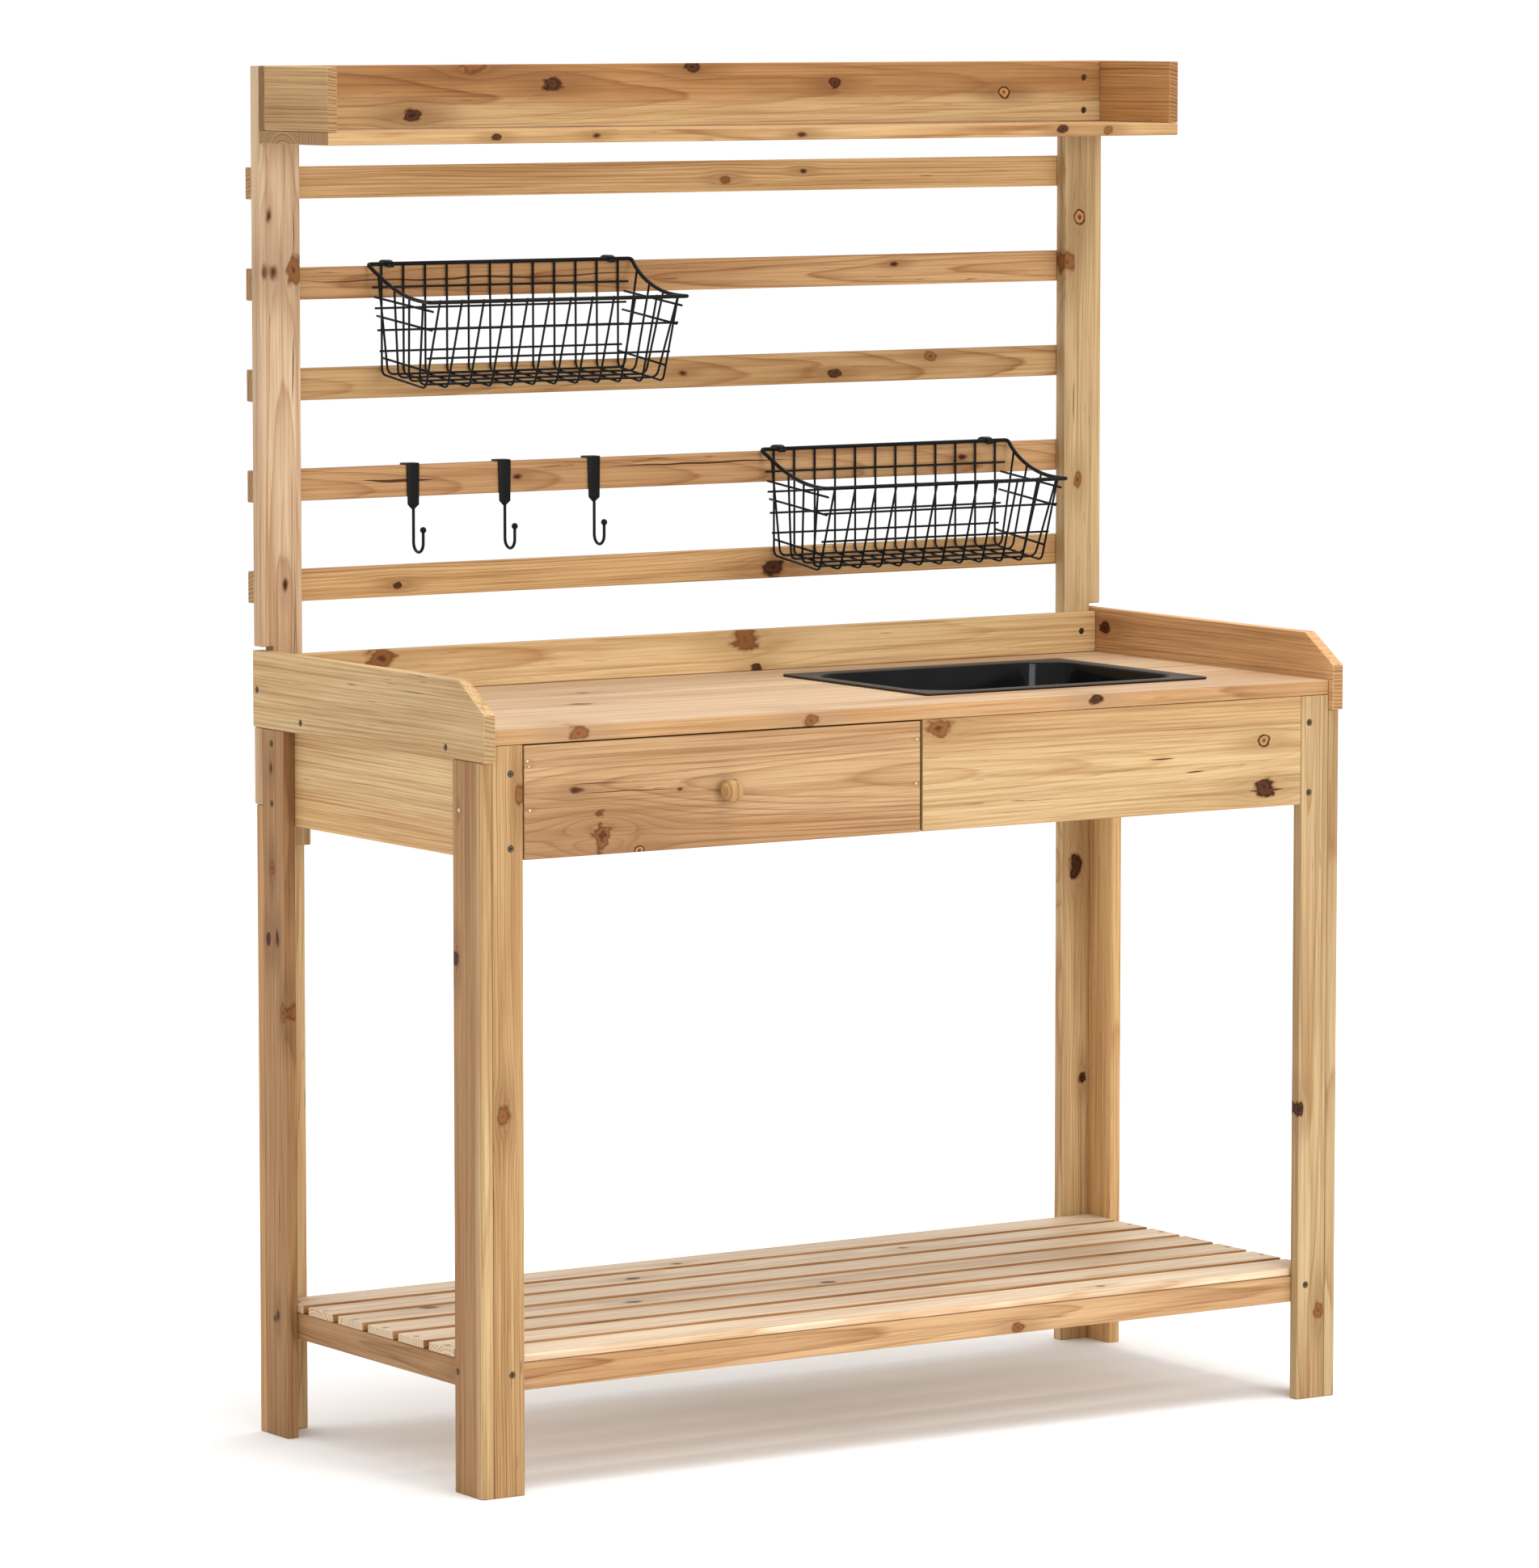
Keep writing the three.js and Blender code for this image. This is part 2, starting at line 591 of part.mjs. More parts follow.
function sideRimHeight(share) {
  const next = SIDE_RIM.findIndex(([depth]) => depth >= share);
  const [fromDepth, fromFall] = SIDE_RIM[Math.max(next - 1, 0)];
  const [toDepth, toFall] = SIDE_RIM[Math.max(next, 1)];
  const fall = between(share, fromDepth, toDepth, fromFall, toFall);
  return RIM_Z - BASKET_FRONT_DROP * fall;
}

// The rim stands proud of the end grids at its four corners and meets them between.
function sideRim(side) {
  return SIDE_RIM.map(([depth]) => {
    const z = sideRimHeight(depth);
    const corner = depth === 0 || depth === 1;
    const half = corner ? RIM_HALF : endHalf(z);
    return [side * half, -BASKET_RIM_DEPTH * depth, z];
  });
}

function loopWire(x) {
  const floorEnd = BASKET_FLOOR_DEPTH - BASKET_CORNER;
  const risingZ = FRONT_FLOOR_Z + BASKET_CORNER;
  return wire([
    [x, 0, RIM_Z],
    [x, 0, FLOOR_Z + BASKET_CORNER],
    [x, -BASKET_CORNER, floorHeight(BASKET_CORNER)],
    [x, -floorEnd, floorHeight(floorEnd)],
    [x, -frontGrid(risingZ), risingZ],
    [x, -BASKET_RIM_DEPTH, FRONT_RIM_Z],
  ], WIRE, 4);
}

function straightAcross(half, forward, z, diameter, sides) {
  return wire([[-half, -forward, z], [half, -forward, z]], diameter, sides);
}

function endGrid(side) {
  const pieces = [];
  for (const share of BASKET_LONG_WIRES) {
    const low = floorHeight(BASKET_FLOOR_DEPTH * share);
    const high = sideRimHeight(share);
    pieces.push(wire([
      [side * endHalf(low), -BASKET_FLOOR_DEPTH * share, low],
      [side * endHalf(high), -BASKET_RIM_DEPTH * share, high],
    ], WIRE, 4));
  }
  for (const share of BASKET_END_LEVELS) {
    const z = between(share, 0, 1, RIM_Z, FLOOR_Z);
    const frontZ = z - BASKET_FLOOR_FALL;
    const back = [side * endHalf(z), 0, z];
    pieces.push(wire([back, [side * endHalf(frontZ), -frontGrid(frontZ), frontZ]], WIRE, 4));
  }
  const x = side * (BASKET_WIDTH / 2 - BASKET_TAB_INSET);
  pieces.push(slatClip(x, BASKET_TAB_WIDTH, BASKET_TAB_THICKNESS, BASKET_TAB_LIP));
  return pieces;
}

function basketGeometry() {
  const half = BASKET_WIDTH / 2;
  const pieces = [
    straightAcross(RIM_HALF, 0, RIM_Z, RIM_WIRE, 6),
    straightAcross(RIM_HALF, BASKET_RIM_DEPTH, FRONT_RIM_Z, RIM_WIRE, 6),
  ];
  for (let index = 0; index < BASKET_LOOPS; index += 1) {
    pieces.push(loopWire(between(index, 0, BASKET_LOOPS - 1, -half, half)));
  }
  for (const share of BASKET_BACK_LEVELS) {
    const z = between(share, 0, 1, RIM_Z, FLOOR_Z);
    pieces.push(straightAcross(endHalf(z), WELD, z, WIRE, 4));
  }
  for (const share of BASKET_FRONT_LEVELS) {
    const z = between(share, 0, 1, FRONT_RIM_Z, FRONT_FLOOR_Z);
    pieces.push(straightAcross(endHalf(z), frontGrid(z) - WELD, z, WIRE, 4));
  }
  for (const share of BASKET_LONG_WIRES) {
    const forward = BASKET_FLOOR_DEPTH * share;
    pieces.push(straightAcross(half, forward, floorHeight(forward) + WELD, WIRE, 4));
  }
  for (const side of [-1, 1]) {
    pieces.push(wire(sideRim(side), RIM_WIRE, 6));
    pieces.push(...endGrid(side));
  }
  return joined(pieces);
}

// Distance from the slat's front face to the centre line of the basket's back grid.
const BASKET_STAND_OFF = RIM_WIRE / 2 + GAP;

// A strap over a slat: a lip down the slat's rear face and a top that reaches forward over the
// basket's back rim. Local frame as the basket's.
function slatClip(x, width, thickness, lip) {
  const rear = BASKET_STAND_OFF + TRELLIS_SLAT_THICKNESS + GAP;
  const front = -RIM_WIRE / 2;
  const outline = [
    [front, GAP],
    [rear, GAP],
    [rear, -lip],
    [rear + thickness, -lip],
    [rear + thickness, GAP + thickness],
    [front, GAP + thickness],
  ];
  return profileAlongX(outline, x - width / 2, width);
}

function addBasket(name, x, slat) {
  const mesh = add(name, basketGeometry(), blackMetal());
  mesh.position.set(x, TRELLIS_FRONT - BASKET_STAND_OFF, slatTop(slat));
}

// Strap with a pointed front plate, J-shaped wire and ball. Local X is across, local Y runs back
// from the slat's front face, local Z is up from the slat's upper edge.
function hookGeometry() {
  const thickness = HOOK_STRAP_THICKNESS;
  const front = -GAP;
  const rear = TRELLIS_SLAT_THICKNESS + GAP;
  const top = GAP + thickness;
  const plateBottom = top - HOOK_PLATE_LENGTH;
  const strap = [
    [front - thickness, plateBottom],
    [front, plateBottom],
    [front, GAP],
    [rear, GAP],
    [rear, -HOOK_LIP],
    [rear + thickness, -HOOK_LIP],
    [rear + thickness, top],
    [front - thickness, top],
  ];
  const strapGeometry = profileAlongX(strap, -HOOK_STRAP_WIDTH / 2, HOOK_STRAP_WIDTH);

  const half = HOOK_STRAP_WIDTH / 2;
  const tip = [
    [-half, plateBottom],
    [-HOOK_WIRE / 2, plateBottom - HOOK_TIP_LENGTH],
    [HOOK_WIRE / 2, plateBottom - HOOK_TIP_LENGTH],
    [half, plateBottom],
    [half, plateBottom + 1],
    [-half, plateBottom + 1],
  ];
  const tipGeometry = profileAlongY(tip, front - thickness, thickness);

  const wireY = front - HOOK_WIRE / 2; // its rear is flush with the strap's, so it clears the slat
  const lowest = top - HOOK_LENGTH + HOOK_WIRE / 2;
  const centreZ = lowest + HOOK_BEND_RADIUS;
  const points = [[0, wireY, plateBottom - HOOK_TIP_LENGTH + 2]];
  const steps = 8;
  for (let step = 0; step <= steps; step += 1) {
    const angle = Math.PI * (step / steps);
    const y = wireY - HOOK_BEND_RADIUS * (1 - Math.cos(angle));
    points.push([0, y, centreZ - HOOK_BEND_RADIUS * Math.sin(angle)]);
  }
  const ballZ = lowest + HOOK_BALL_RISE;
  const ballY = wireY - HOOK_BEND_RADIUS * 2;
  points.push([0, ballY, ballZ]);
  const ball = new THREE.SphereGeometry(HOOK_BALL_RADIUS, 12, 8);
  ball.translate(0, ballY, ballZ);
  return joined([strapGeometry, tipGeometry, wire(points, HOOK_WIRE, 8), ball]);
}

function addHooks() {
  HOOK_X.forEach((x, index) => {
    const mesh = add(`hook_${index + 1}`, hookGeometry(), blackMetal());
    mesh.position.set(x, TRELLIS_FRONT, slatTop(HOOK_SLAT));
  });
}

// ---------------------------------------------------------------- assembly

addLegs();
addUprights();
addCornerBlocks();
addTrellis();
addTopShelf();
addTabletop();
addTray();
addSink();
addAprons();
addDrawer();
addLowerShelf();
addBasket("left_basket", LEFT_BASKET_X, LEFT_BASKET_SLAT);
addBasket("right_basket", RIGHT_BASKET_X, RIGHT_BASKET_SLAT);
addHooks();

// The knob is the foremost piece and the basket tabs and hook lips are the rearmost.
const FOREMOST = -KNOB_LENGTH;
const CLIP_REAR = Math.max(BASKET_TAB_THICKNESS, HOOK_STRAP_THICKNESS);
const REARMOST = TRELLIS_REAR + GAP + CLIP_REAR;
bench.position.set(-BENCH_WIDTH / 2, -(FOREMOST + REARMOST) / 2, 0);

export default bench;
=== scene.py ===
import json
import math
import random

import bmesh
import bpy
from mathutils import Matrix, Vector


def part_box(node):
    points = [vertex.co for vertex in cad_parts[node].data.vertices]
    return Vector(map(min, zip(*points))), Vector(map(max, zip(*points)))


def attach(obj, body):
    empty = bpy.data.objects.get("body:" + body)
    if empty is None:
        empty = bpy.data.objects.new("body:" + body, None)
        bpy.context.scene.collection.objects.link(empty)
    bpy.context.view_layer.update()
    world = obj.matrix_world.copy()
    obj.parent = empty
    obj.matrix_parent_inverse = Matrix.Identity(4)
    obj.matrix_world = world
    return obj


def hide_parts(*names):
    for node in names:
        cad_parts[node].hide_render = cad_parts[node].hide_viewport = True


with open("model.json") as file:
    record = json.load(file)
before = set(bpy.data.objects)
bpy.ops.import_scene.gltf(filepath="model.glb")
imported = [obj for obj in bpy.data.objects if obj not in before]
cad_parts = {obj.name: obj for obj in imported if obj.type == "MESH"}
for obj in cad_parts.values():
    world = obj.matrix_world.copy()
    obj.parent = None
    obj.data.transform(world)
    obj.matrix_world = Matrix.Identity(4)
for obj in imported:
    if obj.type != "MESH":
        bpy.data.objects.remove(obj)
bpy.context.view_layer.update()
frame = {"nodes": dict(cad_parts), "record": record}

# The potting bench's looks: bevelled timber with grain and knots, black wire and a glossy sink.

MM = 0.001

BODY_OF = {
    node: body
    for body, nodes in frame["record"]["behaviour"]["bodies"].items()
    for node in nodes
}
SLOT_OF = {row["node"]: row["material_slot"] for row in frame["record"]["subparts"]}
BASKETS = ("left_basket", "right_basket")
HOOKS = ("hook_1", "hook_2", "hook_3")
NOT_BOARDS = ("sink", "drawer_knob", *BASKETS, *HOOKS)


def new_object(name, data):
    made = bpy.data.objects.new(name, data)
    bpy.context.scene.collection.objects.link(made)
    return made


def arc(steps, whole=math.pi / 2, first=0):
    """Even angles from the first step to the whole turn, both included."""
    return [whole * step / steps for step in range(first, steps + 1)]


# ---------- camera, light and floor

CAMERA_AZIMUTH = math.radians(-33.15)
CAMERA_ELEVATION = math.radians(5.88)
CAMERA_DISTANCE = 8.564
CAMERA_TARGET = Vector((-0.0334, 0.0218, 0.7065))
CAMERA_LENS = 177.5


def make_camera():
    data = bpy.data.cameras.new("camera")
    data.lens = CAMERA_LENS
    data.sensor_width = 36.0
    data.clip_start = 0.1
    data.clip_end = 200.0
    camera = new_object("camera", data)
    level = math.cos(CAMERA_ELEVATION)
    back = Vector((
        math.sin(CAMERA_AZIMUTH) * level,
        -math.cos(CAMERA_AZIMUTH) * level,
        math.sin(CAMERA_ELEVATION),
    ))
    camera.location = CAMERA_TARGET + back * CAMERA_DISTANCE
    camera.rotation_mode = "QUATERNION"
    camera.rotation_quaternion = (-back).to_track_quat("-Z", "Y")
    bpy.context.scene.camera = camera


def area_light(name, place, target, size, power):
    data = bpy.data.lights.new(name, "AREA")
    data.shape = "SQUARE"
    data.size = size
    data.energy = power
    light = new_object(name, data)
    light.location = place
    direction = Vector(target) - Vector(place)
    light.rotation_mode = "QUATERNION"
    light.rotation_quaternion = direction.to_track_quat("-Z", "Y")


def make_studio():
    world = bpy.data.worlds.new("studio")
    world.use_nodes = True
    background = world.node_tree.nodes["Background"]
    background.inputs["Color"].default_value = (1.0, 1.0, 1.0, 1.0)
    background.inputs["Strength"].default_value = 1.07
    bpy.context.scene.world = world
    middle = (0.0, 0.0, 0.8)
    area_light("key", (0.2, -5.2, 1.7), middle, 1.5, 80.0)
    area_light("top", (0.3, -0.6, 4.2), middle, 2.4, 110.0)
    bpy.context.scene.view_settings.view_transform = "Standard"


def make_floor():
    data = bpy.data.meshes.new("floor")
    reach = 60.0
    corners = [(-reach, -reach, 0.0), (reach, -reach, 0.0), (reach, reach, 0.0), (-reach, reach, 0.0)]
    data.from_pydata(corners, [], [(0, 1, 2, 3)])
    floor = new_object("floor", data)
    graph = Graph("floor_white")
    cloud = graph.noise(graph.coordinates(), 3.0)
    colour = graph.ramp(cloud, [(0.3, (0.95, 0.95, 0.95)), (0.7, (0.98, 0.98, 0.98))])
    graph.finish(colour, roughness=0.9, specular=0.1)
    data.materials.append(graph.material)


# ---------- node materials

class Graph:
    """A node material while it is built. Most methods add one node and return its output."""

    def __init__(self, name):
        self.material = bpy.data.materials.new(name)
        self.material.use_nodes = True
        self.tree = self.material.node_tree
        self.tree.nodes.clear()

    def node(self, kind, **settings):
        made = self.tree.nodes.new(kind)
        for key, value in settings.items():
            setattr(made, key, value)
        return made

    def put(self, socket, value):
        """A socket takes another node's output or a plain value."""
        if isinstance(value, bpy.types.NodeSocket):
            self.tree.links.new(value, socket)
        else:
            socket.default_value = value

    def maths(self, operation, first, second=0.0, third=0.0, clamp=False):
        made = self.node("ShaderNodeMath", operation=operation, use_clamp=clamp)
        for socket, value in zip(made.inputs, (first, second, third)):
            self.put(socket, value)
        return made.outputs[0]

    def plus(self, first, second):
        return self.maths("ADD", first, second)

    def minus(self, first, second):
        return self.maths("SUBTRACT", first, second)

    def times(self, first, second):
        return self.maths("MULTIPLY", first, second)

    def coordinates(self, output="Object"):
        return self.node("ShaderNodeTexCoord").outputs[output]

    def separate(self, vector):
        made = self.node("ShaderNodeSeparateXYZ")
        self.put(made.inputs[0], vector)
        return list(made.outputs)

    def combine(self, x, y, z):
        made = self.node("ShaderNodeCombineXYZ")
        for socket, value in zip(made.inputs, (x, y, z)):
            self.put(socket, value)
        return made.outputs[0]

    def noise(self, vector, scale, detail=2.0, roughness=0.5):
        made = self.node("ShaderNodeTexNoise")
        self.put(made.inputs["Vector"], vector)
        made.inputs["Scale"].default_value = scale
        made.inputs["Detail"].default_value = detail
        made.inputs["Roughness"].default_value = roughness
        return made.outputs["Fac"]

    def ramp(self, value, stops):
        made = self.node("ShaderNodeValToRGB")
        self.put(made.inputs[0], value)
        elements = made.color_ramp.elements
        while len(elements) < len(stops):
            elements.new(0.5)
        for element, (place, colour) in zip(elements, stops):
            element.position = place
            element.color = (*colour, 1.0)
        return made.outputs["Color"]

    def mix(self, factor, first, second, blend="MIX"):
        made = self.node("ShaderNodeMix", data_type="RGBA", blend_type=blend)
        # Sockets 0, 6 and 7 are the factor and the two colours.
        for number, value in ((0, factor), (6, first), (7, second)):
            if isinstance(value, tuple) and len(value) == 3:
                value = (*value, 1.0)
            self.put(made.inputs[number], value)
        return made.outputs[2]

    def fade(self, value, full, gone):
        """1 where value is at full, falling smoothly to 0 at gone."""
        made = self.node("ShaderNodeMapRange", interpolation_type="SMOOTHSTEP")
        for socket, number in zip(made.inputs, (value, full, gone, 1.0, 0.0)):
            self.put(socket, number)
        return made.outputs[0]

    def bump(self, height, distance, strength=1.0, normal=None):
        made = self.node("ShaderNodeBump")
        made.inputs["Strength"].default_value = strength
        made.inputs["Distance"].default_value = distance
        self.put(made.inputs["Height"], height)
        if normal is not None:
            self.put(made.inputs["Normal"], normal)
        return made.outputs[0]

    def finish(self, colour, roughness, specular=0.5, metallic=0.0, normal=None):
        shader = self.node("ShaderNodeBsdfPrincipled")
        if isinstance(colour, tuple):
            colour = (*colour, 1.0)
        self.put(shader.inputs["Base Color"], colour)
        self.put(shader.inputs["Roughness"], roughness)
        shader.inputs["Specular IOR Level"].default_value = specular
        shader.inputs["Metallic"].default_value = metallic
        if normal is not None:
            self.put(shader.inputs["Normal"], normal)
        output = self.node("ShaderNodeOutputMaterial")
        self.tree.links.new(shader.outputs[0], output.inputs[0])


def linear(red, green, blue):
    """An everyday 0-255 colour as scene-linear numbers."""
    def channel(value):
        share = value / 255.0
        return share / 12.92 if share <= 0.04045 else ((share + 0.055) / 1.055) ** 2.4
    return channel(red), channel(green), channel(blue)


# The studio is brighter than a white page, so the colours of the wood are held down to this share.
STUDIO_SHARE = 0.74


def lit(red, green, blue):
    """The colour that a surface needs to look like this everyday colour in the studio."""
    return tuple(STUDIO_SHARE * channel for channel in linear(red, green, blue))


# Early wood and late wood of each kind of board.
TONES = {
    "honey": (lit(210, 173, 123), lit(168, 120, 72)),
    "pale": (lit(218, 189, 143), lit(186, 146, 98)),
    "yellow": (lit(220, 189, 142), lit(193, 152, 101)),
    "pink": (lit(210, 167, 119), lit(170, 120, 76)),
    "rosy": (lit(224, 196, 163), lit(197, 158, 122)),
    "tan": (lit(208, 170, 126), lit(170, 124, 84)),
    # The palest tone, used for the lower shelf slats: partly the wood's own paleness and partly painted
    # light on the slats' lit upper faces.
    "pale_with_painted_light": (lit(248, 229, 202), lit(222, 186, 144)),
    "amber": (lit(192, 145, 94), lit(148, 97, 55)),
    "brown": (lit(190, 148, 103), lit(148, 102, 63)),
}

BARK = lit(50, 26, 8)
NAIL = lit(236, 218, 190)
DARK_HEART = lit(94, 52, 20)
KNOT_WOOD = lit(146, 92, 46)
KNOT_EARLY = lit(190, 138, 86)
RESIN = lit(84, 48, 20)

# Each kind of knot: its colours from the centre out, where it fades from full to none, how much
# it is shortened along the grain, and how ragged its edge is.
KNOT_KINDS = {
    "soft": (
        [(0.0, DARK_HEART), (0.3, KNOT_WOOD), (0.62, KNOT_WOOD), (0.82, DARK_HEART), (1.0, KNOT_WOOD)],
        (0.62, 1.3), 0.66, 1.0,
    ),
    "ring": (
        [(0.0, BARK), (0.16, DARK_HEART), (0.3, KNOT_WOOD), (0.45, KNOT_EARLY), (0.66, KNOT_EARLY),
         (0.76, DARK_HEART), (0.9, BARK), (1.0, KNOT_WOOD)],
        (0.92, 1.12), 0.85, 0.5,
    ),
    "dark": (
        [(0.0, BARK), (0.4, DARK_HEART), (0.6, BARK), (0.85, DARK_HEART), (1.0, KNOT_WOOD)],
        (0.66, 1.15), 0.68, 1.1,
    ),
    "spot": ([(0.0, BARK), (0.5, DARK_HEART), (1.0, KNOT_WOOD)], (0.3, 1.1), 0.5, 0.9),
    "patch": (
        [(0.0, DARK_HEART), (0.4, KNOT_WOOD), (0.7, DARK_HEART), (1.0, KNOT_WOOD)],
        (0.6, 1.1), 2.0, 1.9,
    ),
    "nail": ([(0.0, NAIL), (0.9, NAIL), (1.0, KNOT_EARLY)], (0.8, 1.1), 1.0, 0.3),
}


SPLIT_EDGE = 0.35 * MM  # over this width a split's edge goes from wood to dark


def board_axes(node):
    """The board's corners and its axes from longest to shortest."""
    low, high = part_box(node)
    size = high - low
    order = sorted(range(3), key=lambda axis: -size[axis])
    return low, high, order


class Timber:
    """Sawn timber as a node material: the rings of a log cut by the board, so that its ends show
    arcs and its faces lines. U runs along the grain, V across and W through the board."""

    def __init__(
        self, node, tone, light=1.0, knots=(), cracks=(), spacing=3.8 * MM, seed=0, straight=None,
        band=None,
    ):
        self.chance = random.Random(seed * 7919 + 17)
        self.light = light
        self.early, self.late = self.tone(tone)
        self.low, self.high, self.order = board_axes(node)
        self.graph = Graph(f"timber_{node}")
        self.knots = knots
        self.straight = self.chance.random() < 0.45 if straight is None else straight
        self.place()
        self.find_knots()
        year = self.find_rings(spacing)
        colour = self.ring_colour(year, band)
        colour, fibre = self.stained(colour)
        colour = self.flecked(colour)
        colour = self.knotted(colour)
        for crack in cracks:
            colour = self.cracked(colour, *(number * MM for number in crack))
        colour = self.cut_ends(colour, year)
        self.finish(colour, year, fibre)

    def tone(self, name):
        # The light factor scales both colours: partly the board's own paleness, partly painted light for
        # how much light the board catches.
        return [tuple(self.light * channel for channel in colour) for colour in TONES[name]]

    def place(self):
        graph = self.graph
        place = graph.node("ShaderNodeVectorMath", operation="SUBTRACT")
        graph.put(place.inputs[0], graph.coordinates())
        graph.put(place.inputs[1], self.low)
        parts = graph.separate(place.outputs[0])
        self.u, self.v, self.w = (parts[axis] for axis in self.order)
        self.shift = [self.chance.uniform(-40.0, 40.0) for _ in range(3)]

    def noise(self, along, across, detail=2.0, roughness=0.5):
        graph = self.graph
        vector = graph.combine(
            graph.maths("MULTIPLY_ADD", self.u, along, self.shift[0]),
            graph.maths("MULTIPLY_ADD", self.v, across, self.shift[1]),
            graph.maths("MULTIPLY_ADD", self.w, across, self.shift[2]),
        )
        return graph.noise(vector, 1.0, detail, roughness)

    def wander(self, along, across, reach, detail=1.0):
        """Noise about zero, up to about half of reach each way."""
        graph = self.graph
        return graph.times(graph.minus(self.noise(along, across, detail), 0.5), reach)

    def find_knots(self):
        """Offsets from each knot. A face knot runs through the board, and an edge knot runs in
        from the edge, with its place given through the board."""
        graph = self.graph
        self.marks = []
        for along, across, size, kind, *where in self.knots:
            on_edge = bool(where)
            du = graph.minus(self.u, along * MM)
            dv = graph.minus(self.w if on_edge else self.v, across * MM)
            side = graph.times(dv, dv)
            if on_edge:
                deep = graph.times(self.v, 0.12)
                side = graph.plus(side, graph.times(deep, deep))
            run = graph.times(du, du)
            self.marks.append((run, side, dv, size * MM, on_edge, kind))

    def spread(self, run, side, stretch):
        """Square distance from a knot, with the length along the grain cut to stretch."""
        return self.graph.maths("MULTIPLY_ADD", run, stretch * stretch, side)

    def find_rings(self, spacing):
        graph = self.graph
        chance = self.chance
        bent, bent_through = self.v, self.w
        for run, side, dv, size, on_edge, _ in self.marks:
            reach = graph.plus(self.spread(run, side, 0.36), 0.6 * size * size)
            push = graph.times(dv, graph.maths("DIVIDE", 1.5 * size * size, reach))
            if on_edge:
                bent_through = graph.minus(bent_through, push)
            else:
                bent = graph.minus(bent, push)
        width = (self.high - self.low)[self.order[1]]
        if self.straight:
            pith_across = width + chance.uniform(0.05, 0.12)
            pith_deep = chance.uniform(0.01, 0.04)
            tilt = chance.uniform(-0.006, 0.006)
        else:
            pith_across = width * chance.uniform(0.25, 0.75)
            pith_deep = -chance.uniform(0.02, 0.05)
            tilt = chance.choice((-1.0, 1.0)) * chance.uniform(0.012, 0.03)
        sway = self.wander(2.2, 9.0, 0.016)
        ripple = self.wander(7.0, 60.0, 0.0022, 2.0)
        across = graph.plus(graph.minus(bent, pith_across), sway)
        deep = graph.plus(graph.maths("MULTIPLY_ADD", self.u, tilt, -pith_deep), bent_through)
        square = graph.plus(graph.times(across, across), graph.times(deep, deep))
        radius = graph.plus(graph.maths("SQRT", square), ripple)
        years = graph.times(radius, 1.0 / spacing)
        uneven = graph.noise(graph.combine(years, self.shift[0], 0.0), 0.55, 1.0)
        years = graph.plus(years, graph.times(uneven, 1.6))
        return graph.maths("FRACT", years)

    def ring_colour(self, year, band):
        """Pale early wood that darkens to a thin line of late wood. A band of another tone may
        lie along the edge: the tone's name and the shares of the width where it is full and gone."""
        graph = self.graph
        colour = self.lined(year, self.early, self.late)
        if band:
            tone, full, gone = band
            width = (self.high - self.low)[self.order[1]]
            edge = graph.plus(self.v, self.wander(2.0, 20.0, abs(gone - full) * width, 3.0))
            near, far = full * width, gone * width
            inside = graph.fade(edge, near, far)
            colour = graph.mix(inside, colour, self.lined(year, *self.tone(tone)))
        return colour

    def lined(self, year, early, late):
        graph = self.graph
        middle = tuple(0.6 * a + 0.4 * b for a, b in zip(early, late))
        stops = [(0.0, early), (0.45, early), (0.78, middle), (0.92, late), (1.0, early)]
        lines = graph.ramp(year, stops)
        flat = tuple(0.75 * a + 0.25 * b for a, b in zip(early, late))
        calm = graph.fade(self.noise(0.9, 16.0, 1.0), 0.62, 0.34)
        return graph.mix(graph.times(calm, 0.5), lines, flat)

    def stained(self, colour):
        """Broad patches, narrow streaks and fine fibres."""
        graph = self.graph
        light = (1.0, 1.0, 1.0)
        layers = (
            (self.noise(1.5, 13.0, 2.0), 0.37, 0.62, (0.84, 0.76, 0.67), (1.06, 1.06, 1.03)),
            (self.noise(2.6, 140.0, 3.0, 0.6), 0.37, 0.64, (0.82, 0.74, 0.66), (1.06, 1.06, 1.05)),
            (self.noise(5.0, 520.0, 2.0, 0.6), 0.36, 0.62, (0.80, 0.73, 0.66), (1.05, 1.05, 1.05)),
        )
        for noise, low, high, dark, pale in layers:
            stain = graph.ramp(noise, [(low, dark), (0.5, light), (high, pale)])
            colour = graph.mix(0.85, colour, stain, "MULTIPLY")
        fibre = self.noise(22.0, 1100.0, 2.0, 0.6)
        grain = graph.ramp(fibre, [(0.36, (0.86, 0.82, 0.77)), (0.6, light)])
        return graph.mix(0.7, colour, grain, "MULTIPLY"), fibre

    def flecked(self, colour):
        """Short dark resin lines along the grain, here and there."""
        graph = self.graph
        fleck = graph.fade(self.noise(20.0, 420.0, 1.0), 0.75, 0.68)
        region = graph.fade(self.noise(3.0, 30.0, 1.0), 0.64, 0.55)
        share = graph.times(graph.times(fleck, region), 0.6)
        return graph.mix(share, colour, RESIN)

    def knotted(self, colour):
        graph = self.graph
        shade = tuple(0.78 * c for c in self.late)
        ragged = self.wander(60.0, 120.0, 1.6, 4.0) if self.marks else None
        for run, side, _, size, _, kind in self.marks:
            stops, (full, gone), stretch, rough_edge = KNOT_KINDS[kind]
            halo = graph.fade(graph.maths("SQRT", self.spread(run, side, 0.28)), 0.5 * size, 2.8 * size)
            colour = graph.mix(graph.times(halo, 0.55), colour, shade)
            distance = graph.maths("SQRT", self.spread(run, side, stretch))
            share = graph.maths("MULTIPLY_ADD", ragged, rough_edge, graph.times(distance, 1.0 / size))
            colour = graph.mix(graph.fade(share, full, gone), colour, graph.ramp(share, stops))
        return colour

